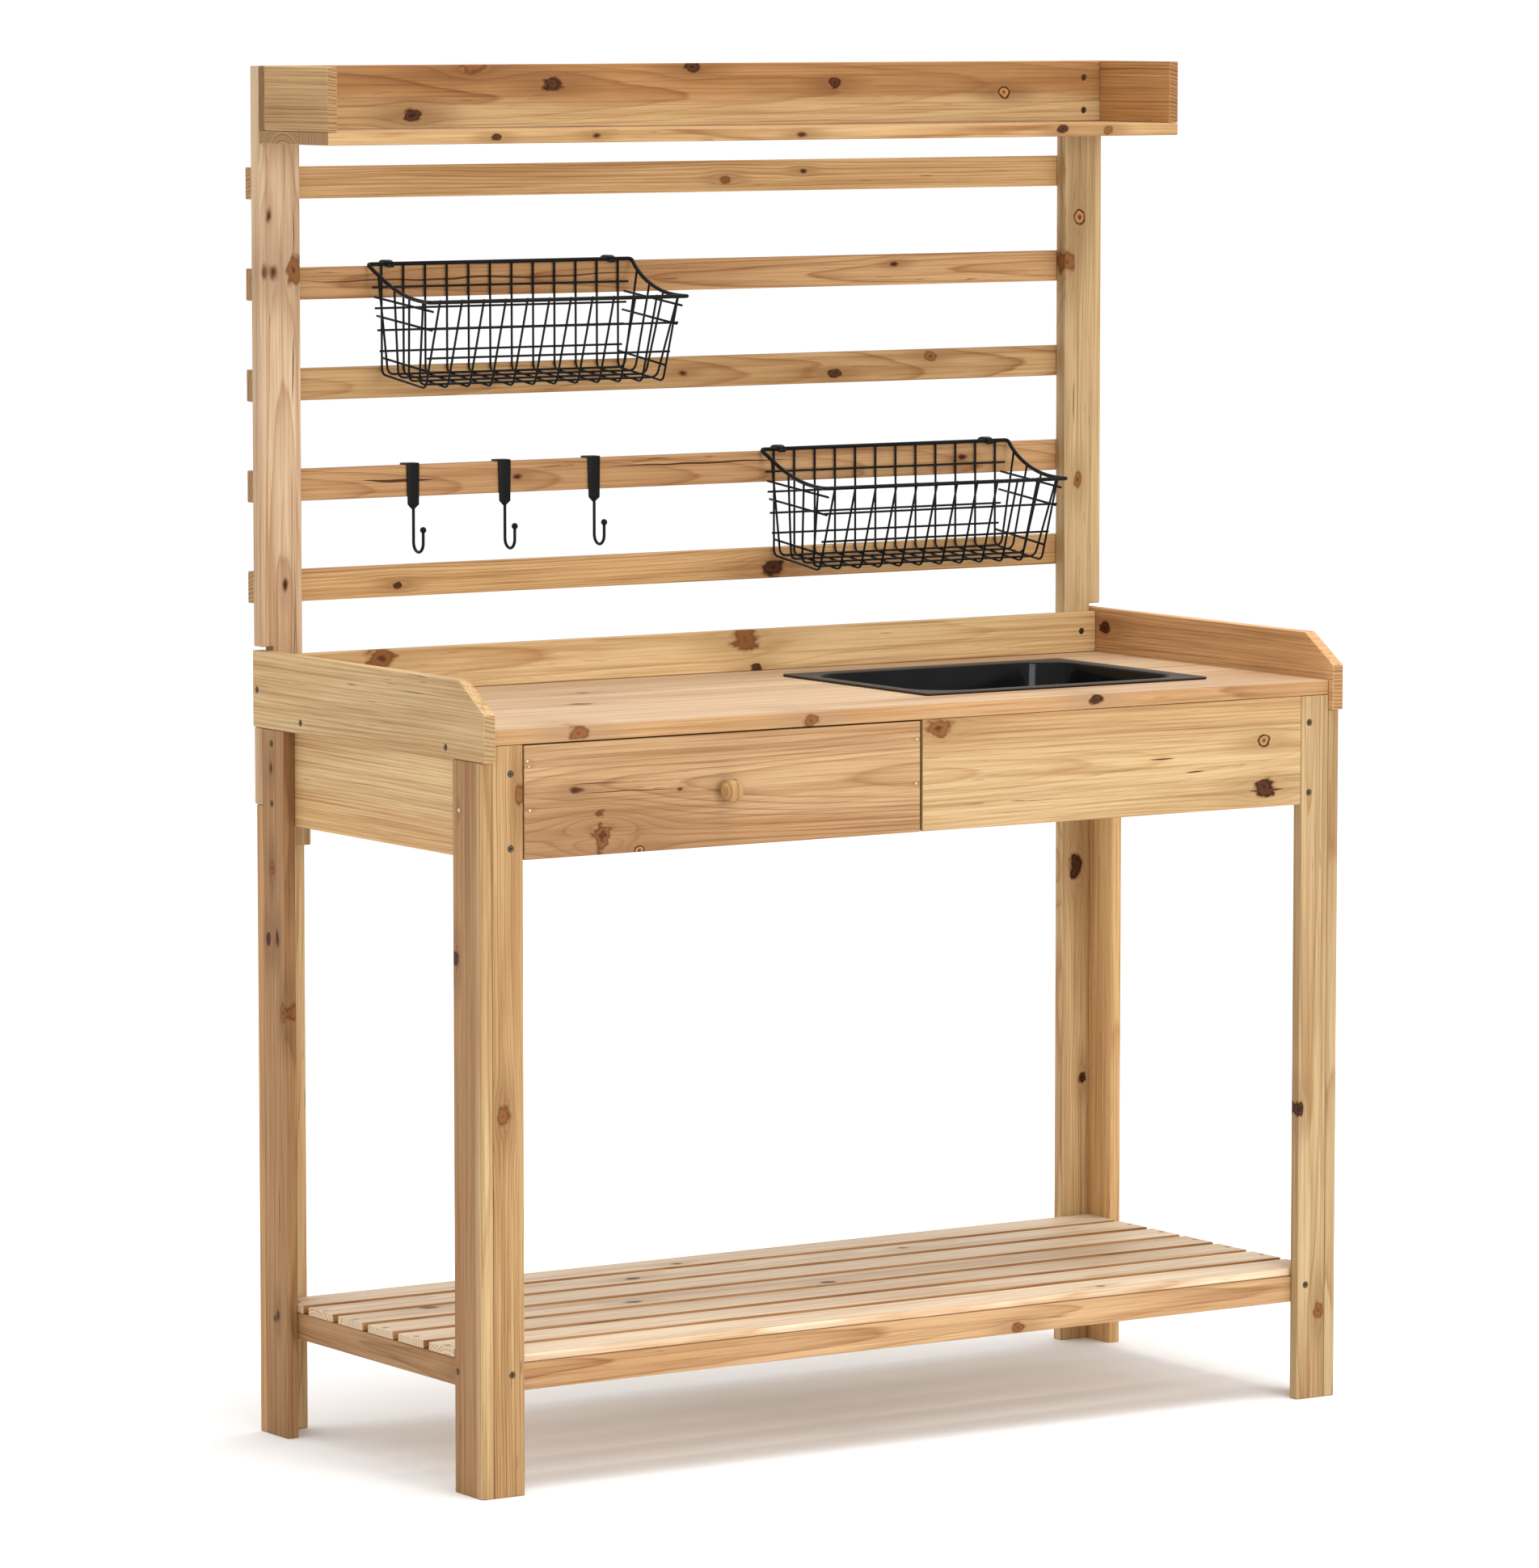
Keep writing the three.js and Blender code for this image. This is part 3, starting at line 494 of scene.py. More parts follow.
    def cracked(self, colour, start, end, height, opening):
        """A dark split that wanders along the grain and closes at both ends."""
        graph = self.graph
        from_split = graph.plus(graph.minus(self.v, height), self.wander(14.0, 1.0, 0.006))
        off = graph.maths("ABSOLUTE", from_split)
        half = (end - start) / 2
        run = graph.times(graph.minus(self.u, start + half), 1.0 / half)
        room = graph.times(graph.minus(1.0, graph.times(run, run)), opening)
        dark = graph.maths("MULTIPLY", graph.minus(room, off), 1.0 / SPLIT_EDGE, clamp=True)
        return graph.mix(dark, colour, RESIN)

    def cut_ends(self, colour, year):
        """Cut ends drink more light, and their rings stand out."""
        graph = self.graph
        facing_end = graph.separate(graph.coordinates("Normal"))[self.order[0]]
        at_end = graph.fade(graph.maths("ABSOLUTE", facing_end), 0.95, 0.8)
        late = tuple(0.6 * c for c in self.late)
        early = tuple(0.5 * a + 0.38 * b for a, b in zip(self.early, self.late))
        rings = graph.ramp(year, [(0.0, early), (0.4, early), (0.85, late), (1.0, early)])
        pores = self.noise(900.0, 900.0, 2.0)
        rough = graph.ramp(pores, [(0.36, (0.84, 0.8, 0.76)), (0.6, (1.0, 1.0, 1.0))])
        return graph.mix(at_end, colour, graph.mix(0.8, rings, rough, "MULTIPLY"))

    def finish(self, colour, year, fibre):
        graph = self.graph
        raised = graph.fade(graph.maths("ABSOLUTE", graph.minus(year, 0.86)), 0.0, 0.2)
        normal = graph.bump(raised, 0.12 * MM, 0.5)
        normal = graph.bump(fibre, 0.1 * MM, 0.5, normal)
        roughness = graph.maths("MULTIPLY_ADD", fibre, 0.16, 0.42)
        graph.finish(colour, roughness, specular=0.14, normal=normal)
        self.material = graph.material


def powder_coat():
    graph = Graph("black_powder_coat")
    grit = graph.noise(graph.coordinates(), 1800.0, 2.0)
    colour = graph.ramp(grit, [(0.35, (0.003, 0.003, 0.003)), (0.7, (0.006, 0.006, 0.006))])
    roughness = graph.maths("MULTIPLY_ADD", graph.noise(graph.coordinates(), 90.0), 0.2, 0.3)
    graph.finish(colour, roughness, specular=0.12, normal=graph.bump(grit, 0.04 * MM, 0.6))
    return graph.material


def moulded_plastic(flange_height):
    """Black plastic: glossy in the bowl, with a matt flange above the given height."""
    graph = Graph("black_gloss_plastic")
    flow = graph.noise(graph.coordinates(), 16.0, 2.0)
    colour = graph.ramp(flow, [(0.3, (0.005, 0.005, 0.005)), (0.7, (0.009, 0.009, 0.009))])
    gloss = graph.maths("MULTIPLY_ADD", graph.noise(graph.coordinates(), 60.0, 3.0), 0.08, 0.06)
    height = graph.separate(graph.coordinates())[2]
    flange = graph.fade(height, flange_height, flange_height - 1.0 * MM)
    colour = graph.mix(flange, colour, (0.05, 0.041, 0.033))
    roughness = graph.maths("MULTIPLY_ADD", flange, 0.42, gloss)
    peel = graph.noise(graph.coordinates(), 260.0, 1.0)
    graph.finish(colour, roughness, specular=0.1, normal=graph.bump(peel, 0.03 * MM, 0.5))
    return graph.material


def screw_metal():
    graph = Graph("dark_zinc")
    worn = graph.noise(graph.coordinates(), 700.0, 3.0)
    colour = graph.ramp(worn, [(0.3, linear(50, 46, 36)), (0.7, linear(112, 100, 78))])
    roughness = graph.maths("MULTIPLY_ADD", worn, 0.25, 0.3)
    graph.finish(colour, roughness, metallic=0.9, normal=graph.bump(worn, 0.03 * MM, 0.5))
    return graph.material


# ---------- mesh helpers

def from_bmesh(name, bm):
    data = bpy.data.meshes.new(name)
    bm.normal_update()
    bm.to_mesh(data)
    bm.free()
    return new_object(name, data)


def smooth(piece, angle=40.0):
    """Smooth shading that stays crisp where faces meet at more than the angle."""
    data = piece.data
    data.polygons.foreach_set("use_smooth", [True] * len(data.polygons))
    data.set_sharp_from_angle(angle=math.radians(angle))
    data.update()


def settle(piece, body, slot, material, *nodes):
    """Gives a piece its material and body, and hides the CAD nodes that it stands for. The slot is not
    used.
    """
    piece.data.materials.clear()
    piece.data.materials.append(material)
    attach(piece, body)
    if nodes:
        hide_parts(*nodes)


def show(piece, node, material, crisp=40.0):
    """Shades the piece and lets it stand for a CAD node, on the node's body."""
    smooth(piece, crisp)
    settle(piece, BODY_OF[node], SLOT_OF[node], material, node)


def bake(piece):
    """Applies the piece's modifiers to its mesh."""
    graph = bpy.context.evaluated_depsgraph_get()
    data = bpy.data.meshes.new_from_object(piece.evaluated_get(graph))
    piece.modifiers.clear()
    piece.data = data


def node_bmesh(node):
    """The CAD solid with its triangles merged back into whole faces."""
    source = frame["nodes"][node]
    bm = bmesh.new()
    bm.from_mesh(source.data)
    bm.transform(source.matrix_world)
    bmesh.ops.remove_doubles(bm, verts=bm.verts, dist=1e-6)
    bmesh.ops.dissolve_limit(bm, angle_limit=math.radians(0.5), verts=bm.verts, edges=bm.edges)
    return bm


def ease_edges(bm, amount, segments=3, sharper_than=25.0):
    limit = math.radians(sharper_than)
    sharp = [edge for edge in bm.edges if edge.is_manifold and edge.calc_face_angle() > limit]
    bmesh.ops.bevel(
        bm, geom=sharp, offset=amount, segments=segments, profile=0.5, affect="EDGES", clamp_overlap=True
    )


def lathe(bm, profile, place, rotation, sides):
    """A turned body: profile is (radius, rise) from the axis out and back, about local Z."""
    rings = []
    for radius, rise in profile:
        count = 1 if radius < 1e-7 else sides
        ring = []
        for side in range(count):
            turn = 2 * math.pi * side / sides
            point = Vector((radius * math.cos(turn), radius * math.sin(turn), rise))
            ring.append(bm.verts.new(rotation @ point + place))
        rings.append(ring)
    for lower, upper in zip(rings, rings[1:]):
        for side in range(sides):
            after = (side + 1) % sides
            corners = [lower[side % len(lower)], lower[after % len(lower)]]
            corners += [upper[after % len(upper)], upper[side % len(upper)]]
            distinct = list(dict.fromkeys(corners))
            if len(distinct) > 2:
                bm.faces.new(distinct)


def rounded(points, radius, steps=5, closed=False):
    """The path with each corner replaced by an arc of the given radius where it fits."""
    points = [Vector(point) for point in points]
    count = len(points)
    path = []
    for index, corner in enumerate(points):
        if not closed and index in (0, count - 1):
            path.append(corner)
            continue
        before = points[index - 1] - corner
        after = points[(index + 1) % count] - corner
        bend = math.pi - before.angle(after)
        if bend < math.radians(12):
            path.append(corner)
            continue
        cut = min(radius * math.tan(bend / 2), 0.45 * before.length, 0.45 * after.length)
        start = corner + before.normalized() * cut
        end = corner + after.normalized() * cut
        for step in range(steps + 1):
            share = step / steps
            path.append(start.lerp(corner, share).lerp(corner.lerp(end, share), share))
    return path


def tube(bm, points, radius, sides=10, closed=False):
    """A round wire along the points, with domed ends unless it closes on itself."""
    count = len(points)
    tangents = []
    for index, point in enumerate(points):
        ahead = points[(index + 1) % count] if closed or index < count - 1 else point
        behind = points[index - 1] if closed or index > 0 else point
        tangents.append((ahead - behind).normalized())
    start = Vector((0.0, 0.0, 1.0)) if abs(tangents[0].z) < 0.9 else Vector((1.0, 0.0, 0.0))
    normal = tangents[0].cross(start).normalized()
    rings = []
    for index, point in enumerate(points):
        tangent = tangents[index]
        normal = (normal - tangent * normal.dot(tangent)).normalized()
        rings.append((point, normal, tangent.cross(normal), radius))
    if not closed:
        dome = radius * 0.7
        narrow = radius * 0.55
        first, last = rings[0], rings[-1]
        rings.insert(0, (first[0] - tangents[0] * dome, first[1], first[2], narrow))
        rings.append((last[0] + tangents[-1] * dome, last[1], last[2], narrow))
    loops = []
    for centre, along, beside, reach in rings:
        loop = []
        for side in range(sides):
            turn = 2 * math.pi * side / sides
            out = along * math.cos(turn) + beside * math.sin(turn)
            loop.append(bm.verts.new(centre + out * reach))
        loops.append(loop)
    if closed:
        def twist(k):
            gaps = (loops[-1][(i + k) % sides].co - loops[0][i].co for i in range(sides))
            return sum(gap.length for gap in gaps)

        # The last ring is turned to meet the first with the least twist.
        offset = min(range(sides), key=twist)
        loops.append(loops[0])
    else:
        offset = 0
        bm.faces.new(list(reversed(loops[0])))
        bm.faces.new(loops[-1])
    for index, (lower, upper) in enumerate(zip(loops, loops[1:])):
        turn = offset if closed and index == len(loops) - 2 else 0
        for side in range(sides):
            after = (side + 1) % sides
            lower_a, lower_b = lower[(side + turn) % sides], lower[(after + turn) % sides]
            bm.faces.new((lower_a, lower_b, upper[after], upper[side]))


# ---------- screws

# Radius and rise above the board's face, in millimetres.
HOLE_PROFILE = [(0.0, -7.0), (2.3, -7.0), (2.3, -3.2), (4.0, -0.6), (4.3, 1.0), (0.0, 1.0)]
HEAD_PROFILE = [(0.0, -3.4), (1.7, -3.4), (3.3, -1.4), (3.5, -1.0), (3.4, -0.82), (3.0, -0.8)]
CROSS_ARM = 2.0 * MM
CROSS_WIDTH = 0.8 * MM
CROSS_DEPTH = 1.3 * MM


def in_metres(profile):
    return [(radius * MM, rise * MM) for radius, rise in profile]


def facing(normal):
    return Vector(normal).to_track_quat("Z", "Y").to_matrix()


def drill(piece, spots):
    """Cuts a countersunk hole at each (point, outward normal)."""
    bm = bmesh.new()
    profile = in_metres(HOLE_PROFILE)
    for point, normal in spots:
        lathe(bm, profile, point, facing(normal), 20)
    cutter = from_bmesh("cutter", bm)
    change = piece.modifiers.new("holes", "BOOLEAN")
    change.operation = "DIFFERENCE"
    change.solver = "EXACT"
    change.object = cutter
    bake(piece)
    bpy.data.objects.remove(cutter)


def screw_heads(name, body, spots, material):
    """Countersunk heads with a cross recess, all in one piece."""
    bm = bmesh.new()
    profile = in_metres(HEAD_PROFILE)
    for index, (point, normal) in enumerate(spots):
        turn = Matrix.Rotation(math.radians(37.0 * index), 3, "Z")
        rotation = facing(normal) @ turn
        lathe(bm, profile, point, rotation, 24)
        cross_face(bm, point, rotation, profile[-1])
    piece = from_bmesh(name, bm)
    smooth(piece, 30.0)
    settle(piece, body, "black_metal", material)


def cross_face(bm, place, rotation, rim):
    """The flat top of a screw head, with a cross-shaped recess that tapers inwards."""
    radius, rise = rim
    half = CROSS_WIDTH / 2
    outline = []
    for quarter in range(4):
        turn = Matrix.Rotation(-math.pi / 2 * quarter, 3, "Z")
        for across, along in ((half, half), (CROSS_ARM, half), (CROSS_ARM, -half)):
            outline.append(turn @ Vector((across, along, 0.0)))
    outline.sort(key=lambda point: math.atan2(point.y, point.x))

    def ring(points, height):
        return [bm.verts.new(rotation @ Vector((p.x, p.y, height)) + place) for p in points]

    top = ring(outline, rise)
    floor = ring([point * 0.5 for point in outline], rise - CROSS_DEPTH)
    edge = ring([point.normalized() * radius for point in outline], rise)
    count = len(outline)
    for index in range(count):
        after = (index + 1) % count
        bm.faces.new((edge[index], edge[after], top[after], top[index]))
        bm.faces.new((top[index], top[after], floor[after], floor[index]))
    bm.faces.new(floor)


# ---------- boards

EASE = 1.3 * MM

# How each board looks: its tone; light, a factor on the tone's colours that is partly the board's
# own paleness and partly painted light, brightening boards that catch too little light and darkening
# boards that catch too much; knots as (along, across, size, kind), with "edge" where the second
# place is through the board instead; cracks as (start, end, across, opening); a band as (tone,
# shares of the width where it is full and gone). Places are in millimetres from the board's lowest
# corner. A board that isn't listed takes its look by chance.
LOOKS = {
    # The shelf's back board and right end take the darker amber tone partly as their own colour and
    # partly as painted shade on the shelf's inner faces, which the lamps reach less; the back board's
    # light of 0.92 adds to that painted shade.
    "top_shelf_back_board": dict(
        tone="amber", light=0.92, seed=3, band=("yellow", 0.2, 0.62),
        knots=[
            (366, 48, 9, "dark"), (551, 66, 8, "dark"), (742, 46, 7, "dark"),
            (975, 34, 7, "ring"), (187, 14, 9, "dark"), (262, 71, 13, "soft"),
        ],
    ),
    "top_shelf_right_end": dict(tone="amber", light=1.12, seed=5, straight=True),
    "top_shelf_left_end": dict(tone="honey", seed=6, straight=True),
    "top_shelf_front_bottom_board": dict(
        tone="honey", seed=8,
        knots=[
            (209, 7, 4.5, "dark", "edge"), (338, 8, 4, "spot", "edge"),
            (607, 6, 5, "spot", "edge"), (961, 9, 6, "dark", "edge"),
            (1024, 7, 5, "soft", "edge"),
        ],
    ),
    "top_shelf_rear_bottom_board": dict(tone="honey", seed=9),
    "left_upright": dict(
        tone="rosy", seed=11,
        knots=[
            (642, 12, 5, "spot"), (581, 6, 6, "spot"), (581, 18, 6.5, "spot"),
            (583, 43, 11, "soft"), (240, 30, 5, "spot"),
        ],
        cracks=[(430, 520, 41, 0.9), (590, 660, 42, 0.7), (50, 300, 41, 0.6)],
    ),
    "right_upright": dict(
        tone="pale", light=0.92, seed=12,
        knots=[(623, 20, 8, "ring"), (572, 4, 9, "soft"), (319, 19, 6, "soft")],
        cracks=[(380, 440, 13, 0.8)],
    ),
    "trellis_slat_1": dict(
        tone="honey", light=1.15, seed=21, knots=[(613, 14, 5, "soft"), (719, 22, 3.5, "spot")],
    ),
    "trellis_slat_2": dict(
        tone="pink", seed=22, knots=[(844, 24, 4, "spot")], cracks=[(30, 540, 20, 1.4)],
    ),
    "trellis_slat_3": dict(
        tone="honey", seed=23,
        knots=[(895, 27, 6, "soft"), (762, 10, 6, "dark"), (556, 17, 4, "spot")],
    ),
    "trellis_slat_4": dict(
        tone="pink", seed=24, knots=[(337, 17, 4, "spot"), (939, 19, 4, "spot")],
        cracks=[(135, 235, 19, 1.8), (440, 720, 24, 1.3)],
    ),
    "trellis_slat_5": dict(
        tone="honey", light=1.15, seed=25, knots=[(183, 12, 5, "dark"), (678, 11, 11, "dark")],
    ),
    "tray_left_side": dict(tone="yellow", seed=31, straight=True, spacing=5.0 * MM),
    "tray_right_side": dict(
        tone="pink", light=1.2, seed=32, straight=True, knots=[(438, 62, 8, "dark")],
    ),
    "tray_back_board": dict(
        tone="yellow", light=1.18, seed=33,
        knots=[(128, 37, 12, "soft"), (605, 37, 13, "soft"), (621, 4, 6, "dark")],
    ),
    "tabletop": dict(
        tone="rosy", seed=34, band=("pink", 0.001, 0.01),
        knots=[
            (106, 8, 8, "soft", "edge"), (399, 6, 7, "soft", "edge"),
            (774, 9, 7, "dark", "edge"), (240, 210, 9, "soft"), (310, 320, 6, "spot"),
        ],
    ),
    "drawer_front": dict(
        tone="tan", seed=41,
        knots=[
            (63.5, 70, 5.5, "spot"), (95.5, 20, 21, "patch"), (142.5, 2, 6, "ring"),
            (193, 64, 3, "spot"), (4, 104, 1.3, "nail"), (6, 98, 1.1, "nail"),
            (7, 52, 1.3, "nail"), (497, 101, 1.2, "nail"), (496, 53, 1.2, "nail"),
        ],
        cracks=[(50, 130, 76, 0.7), (55, 200, 66, 0.8)],
    ),
    "fixed_front_panel": dict(
        tone="yellow", seed=42, band=("honey", 0.95, 0.5),
        knots=[(460, 74, 7.5, "ring"), (461, 21, 11, "dark"), (22, 112, 11, "soft")],
        cracks=[(437, 490, 20, 1.6), (300, 340, 62, 1), (350, 380, 45, 1)],
    ),
    "side_apron_left": dict(tone="pale", light=1.25, seed=43, straight=True, band=("honey", 0.24, 0.4)),
    "side_apron_right": dict(tone="honey", seed=44),
    "front_left_leg_face_board": dict(
        tone="honey", light=0.95, seed=51, straight=True,
        knots=[(407, 13, 8, "soft"), (745, 34, 7, "soft")],
    ),
    "front_left_leg_side_board": dict(
        tone="brown", seed=52, straight=True, band=("yellow", 0.04, 0.3),
        knots=[(570, 52, 7, "dark"), (727, 44, 2.2, "nail")],
    ),
    "front_right_leg_face_board": dict(
        tone="pale", light=0.92, seed=53, knots=[(331, 2, 6, "dark"), (99, 29, 7, "soft")],
    ),
    "front_right_leg_side_board": dict(tone="pale", light=0.88, seed=54, straight=True),
    "rear_left_leg_side_board": dict(
        tone="brown", seed=55, straight=True,
        knots=[
            (738, 28, 5, "spot"), (628, 27, 6, "soft"), (550, 17, 6, "spot"),
            (550, 37, 6, "dark"), (471, 4, 7, "soft"), (135, 20, 5, "spot"),
        ],
        cracks=[(220, 280, 15, 0.8)],
    ),
    # The brown band along this board's edge at the side board is painted shade in the leg's inner
    # corner, and the light of 1.25 brightens the rest of the board, which lies in shade, as painted
    # light.
    "rear_left_leg_back_board": dict(tone="pale", light=1.25, seed=56, band=("brown", 0.1, 0.5)),
    "rear_right_leg_back_board": dict(
        tone="pale", light=1.25, seed=57, straight=True,
        knots=[(560, 20, 11, "dark"), (310, 30, 6, "dark")],
    ),
    "rear_right_leg_side_board": dict(tone="honey", light=1.45, seed=58, straight=True),
    "rear_left_splice_block": dict(tone="pale", seed=59, straight=True),
    "lower_front_rail": dict(tone="tan", light=1.15, seed=61, knots=[(668, 6, 6, "soft")]),
    "lower_side_rail_left": dict(tone="brown", seed=62, knots=[(50, 12, 7, "dark")]),
    "drawer_knob": dict(tone="honey", seed=63, straight=True, spacing=9.0 * MM),
}


def look_of(node, number):
    """The board's own look, or one drawn by chance from its number."""
    if node in LOOKS:
        return LOOKS[node]
    chance = random.Random(number * 101 + 7)
    low, high, order = board_axes(node)
    length, width = ((high - low)[axis] for axis in order[:2])
    knots = []
    for _ in range(chance.choice((0, 1, 1, 2))):
        knots.append((
            chance.uniform(0.1, 0.9) * length / MM,
            chance.uniform(0.1, 0.9) * width / MM,
            chance.uniform(4.0, 8.0),
            chance.choice(("soft", "soft", "ring", "dark", "spot")),
        ))
    look = dict(seed=number + 200, knots=knots)
    if not node.startswith("lower_shelf_slat"):
        return dict(tone=chance.choice(("honey", "pale", "pink")), **look)
    # Each slat but the front one gets a narrow amber band along its front edge: painted shade in the gap
    # between it and the slat in front.
    if node != "lower_shelf_slat_1":
        look["band"] = ("amber", 0.012, 0.04)
    # The palest tone and a light of 1.16 are partly painted light, brightening the slats' upper faces
    # where light falls on the lower shelf.
    return dict(tone="pale_with_painted_light", light=1.16, **look)


def make_board(node, number, holes):
    bm = node_bmesh(node)
    ease_edges(bm, EASE)
    piece = from_bmesh(f"{node}_timber", bm)
    if holes:
        drill(piece, holes)
    show(piece, node, Timber(node, **look_of(node, number)).material)
    weighted = piece.modifiers.new("even_normals", "WEIGHTED_NORMAL")
    weighted.keep_sharp = True


BOARD_SCREW_INSET = 17 * MM  # from the inner edge of an upright


class Screws:
    """Adds the places where screws show on one side of the bench (way is -1 on the left and 1 on
    the right) to spots, as board: [(point, outward normal)]."""

    def __init__(self, spots, side, way):
        self.spots = spots
        self.side = side
        self.way = way
        self.apron_low, self.apron_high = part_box(f"side_apron_{side}")
        rail_low, rail_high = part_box(f"lower_side_rail_{side}")
        self.rail_x = (rail_low.x + rail_high.x) / 2
        self.rail_z = (rail_low.z + rail_high.z) / 2 + 6 * MM
        self.legs()
        self.tray()
        self.back_frame()
        self.shelves()

    def add(self, node, x, y, z, normal):
        self.spots.setdefault(node, []).append((Vector((x, y, z)), Vector(normal)))

    def outside(self, node, y, z):
        """A screw in the outer face of a board at the bench's end."""
        low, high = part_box(node)
        self.add(node, high.x if self.way > 0 else low.x, y, z, (self.way, 0.0, 0.0))

    def legs(self):
        """Screws near the apron's upper and lower edges, and level with the lower rail."""
        low, high = self.apron_low.z, self.apron_high.z
        face = f"front_{self.side}_leg_face_board"
        face_low, face_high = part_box(face)
        share = 0.6 if self.way < 0 else 0.3
        x = face_low.x + (face_high.x - face_low.x) * share
        for z in (high - 30 * MM, low + 13 * MM, self.rail_z):
            self.add(face, x, face_low.y, z, (0.0, -1.0, 0.0))
        front = f"front_{self.side}_leg_side_board"
        self.outside(front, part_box(front)[1].y - 6 * MM, self.rail_z)
        rear = f"rear_{self.side}_leg_side_board"
        rear_low, rear_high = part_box(rear)
        for z in (high - 32 * MM, low + 24 * MM, self.rail_z):
            self.outside(rear, (rear_low.y + rear_high.y) / 2 + 4 * MM, z)
        back = f"rear_{self.side}_leg_back_board"
        back_low, back_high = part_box(back)
        for z in (back_high.z - 18 * MM, back_high.z - 36 * MM, self.rail_z):
            self.add(back, (back_low.x + back_high.x) / 2, back_high.y, z, (0.0, 1.0, 0.0))

    def tray(self):
        node = f"tray_{self.side}_side"
        low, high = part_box(node)
        self.outside(node, high.y - 9 * MM, low.z + 41 * MM)
        self.outside(node, high.y - 104 * MM, low.z + 12 * MM)
        self.outside(node, low.y + 79 * MM, low.z + 11 * MM)

    def back_frame(self):
        """Screws that hold the long boards and slats to the upright."""
        low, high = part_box(f"{self.side}_upright")
        inner = low.x + BOARD_SCREW_INSET if self.way > 0 else high.x - BOARD_SCREW_INSET
        for node, shares in (("top_shelf_back_board", (0.72, 0.18)), ("tray_back_board", (0.52,))):
            board_low, board_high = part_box(node)
            for share in shares:
                z = board_low.z + (board_high.z - board_low.z) * share
                self.add(node, inner, board_low.y, z, (0.0, -1.0, 0.0))
        for slat in range(1, 6):
            node = f"trellis_slat_{slat}"
            board_low, board_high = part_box(node)
            z = (board_low.z + board_high.z) / 2
            self.add(node, (low.x + high.x) / 2, board_high.y, z, (0.0, 1.0, 0.0))

    def shelves(self):
        for slat in range(1, 8):
            node = f"lower_shelf_slat_{slat}"
            low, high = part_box(node)
            self.add(node, self.rail_x, (low.y + high.y) / 2, high.z, (0.0, 0.0, 1.0))
        end_low, end_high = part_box(f"top_shelf_{self.side}_end")
        node = "top_shelf_front_bottom_board"
        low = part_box(node)[0]
        self.add(node, (end_low.x + end_high.x) / 2, low.y + 22 * MM, low.z, (0.0, 0.0, -1.0))


def make_boards():
    spots = {}
    for side, way in (("left", -1.0), ("right", 1.0)):
        Screws(spots, side, way)
    boards = [node for node in sorted(frame["nodes"]) if node not in NOT_BOARDS]
    for number, node in enumerate(boards):
        make_board(node, number, spots.get(node, []))
    everywhere = [spot for node in sorted(spots) for spot in spots[node]]
    screw_heads("bench_screws", "bench", everywhere, screw_metal())


# ---------- drawer knob

def make_knob():
    """A turned wooden knob with a short neck and a domed face."""
    low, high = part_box("drawer_knob")
    radius = (high.x - low.x) / 2
    length = high.y - low.y
    profile = [(0.0, 0.0), (radius * 0.62, 0.0), (radius * 0.6, length * 0.04)]
    neck_steps = 6
    for step in range(neck_steps + 1):
        share = step / neck_steps
        waist = 0.6 - 0.14 * math.sin(math.pi * share)
        profile.append((radius * waist, length * (0.06 + 0.36 * share)))
    shoulder = 0.5 * length
    for turn in arc(12, first=-4)[:-1]:
        above = 0.5 * math.sin(turn) if turn >= 0 else 0.12 * math.sin(3 * turn)
        profile.append((radius * math.cos(turn) ** 0.6, shoulder + length * above))
    profile.append((0.0, length))
    bm = bmesh.new()
    place = Vector(((low.x + high.x) / 2, high.y, (low.z + high.z) / 2))
    lathe(bm, profile, place, facing((0.0, -1.0, 0.0)), 40)
    piece = from_bmesh("drawer_knob_turned", bm)
    show(piece, "drawer_knob", Timber("drawer_knob", **LOOKS["drawer_knob"]).material, 50.0)


# ---------- sink

SINK_LIP = 15 * MM
SINK_WALL = 3 * MM
SINK_LEAN = 12 * MM
SINK_CORNER = 52 * MM
SINK_LIP_CORNER = 6 * MM
SINK_LIP_THICKNESS = 2.6 * MM
SINK_EDGE = 1 * MM  # the rounding of the flange's outer edge
SINK_ROLL = 3 * MM  # the rounding where the flange turns down into the bowl
SINK_COVE = 14 * MM
FLANGE_DROP = 0.8 * MM  # the matt finish ends this far below the flange's top


def sink_ring(centre, half_width, half_depth, radius, z, steps=10):
    ring = []
    for quarter, (sx, sy) in enumerate(((1, 1), (-1, 1), (-1, -1), (1, -1))):
        for step in range(steps + 1):
            turn = math.pi / 2 * (quarter + step / steps)
            x = sx * (half_width - radius) + radius * math.cos(turn)
            y = sy * (half_depth - radius) + radius * math.sin(turn)
            ring.append(Vector((centre.x + x, centre.y + y, z)))
    return ring


def sink_wall(start, floor, corner, rim_z, steps=6):
    """Rings as (inset, corner radius, height), down the drafted wall and round the cove."""
    rings = []
    drop = rim_z - floor - SINK_COVE
    foot = corner - 4 * MM
    for step in range(steps + 1):
        share = step / steps
        rings.append((start + SINK_LEAN * share, corner - 4 * MM * share, rim_z - drop * share))
    for step in range(1, steps + 1):
        turn = math.pi / 2 * step / steps
        inset = start + SINK_LEAN + SINK_COVE * (1 - math.cos(turn))
        rings.append((inset, foot - 8 * MM * step / steps, floor + SINK_COVE * (1 - math.sin(turn))))
    return rings


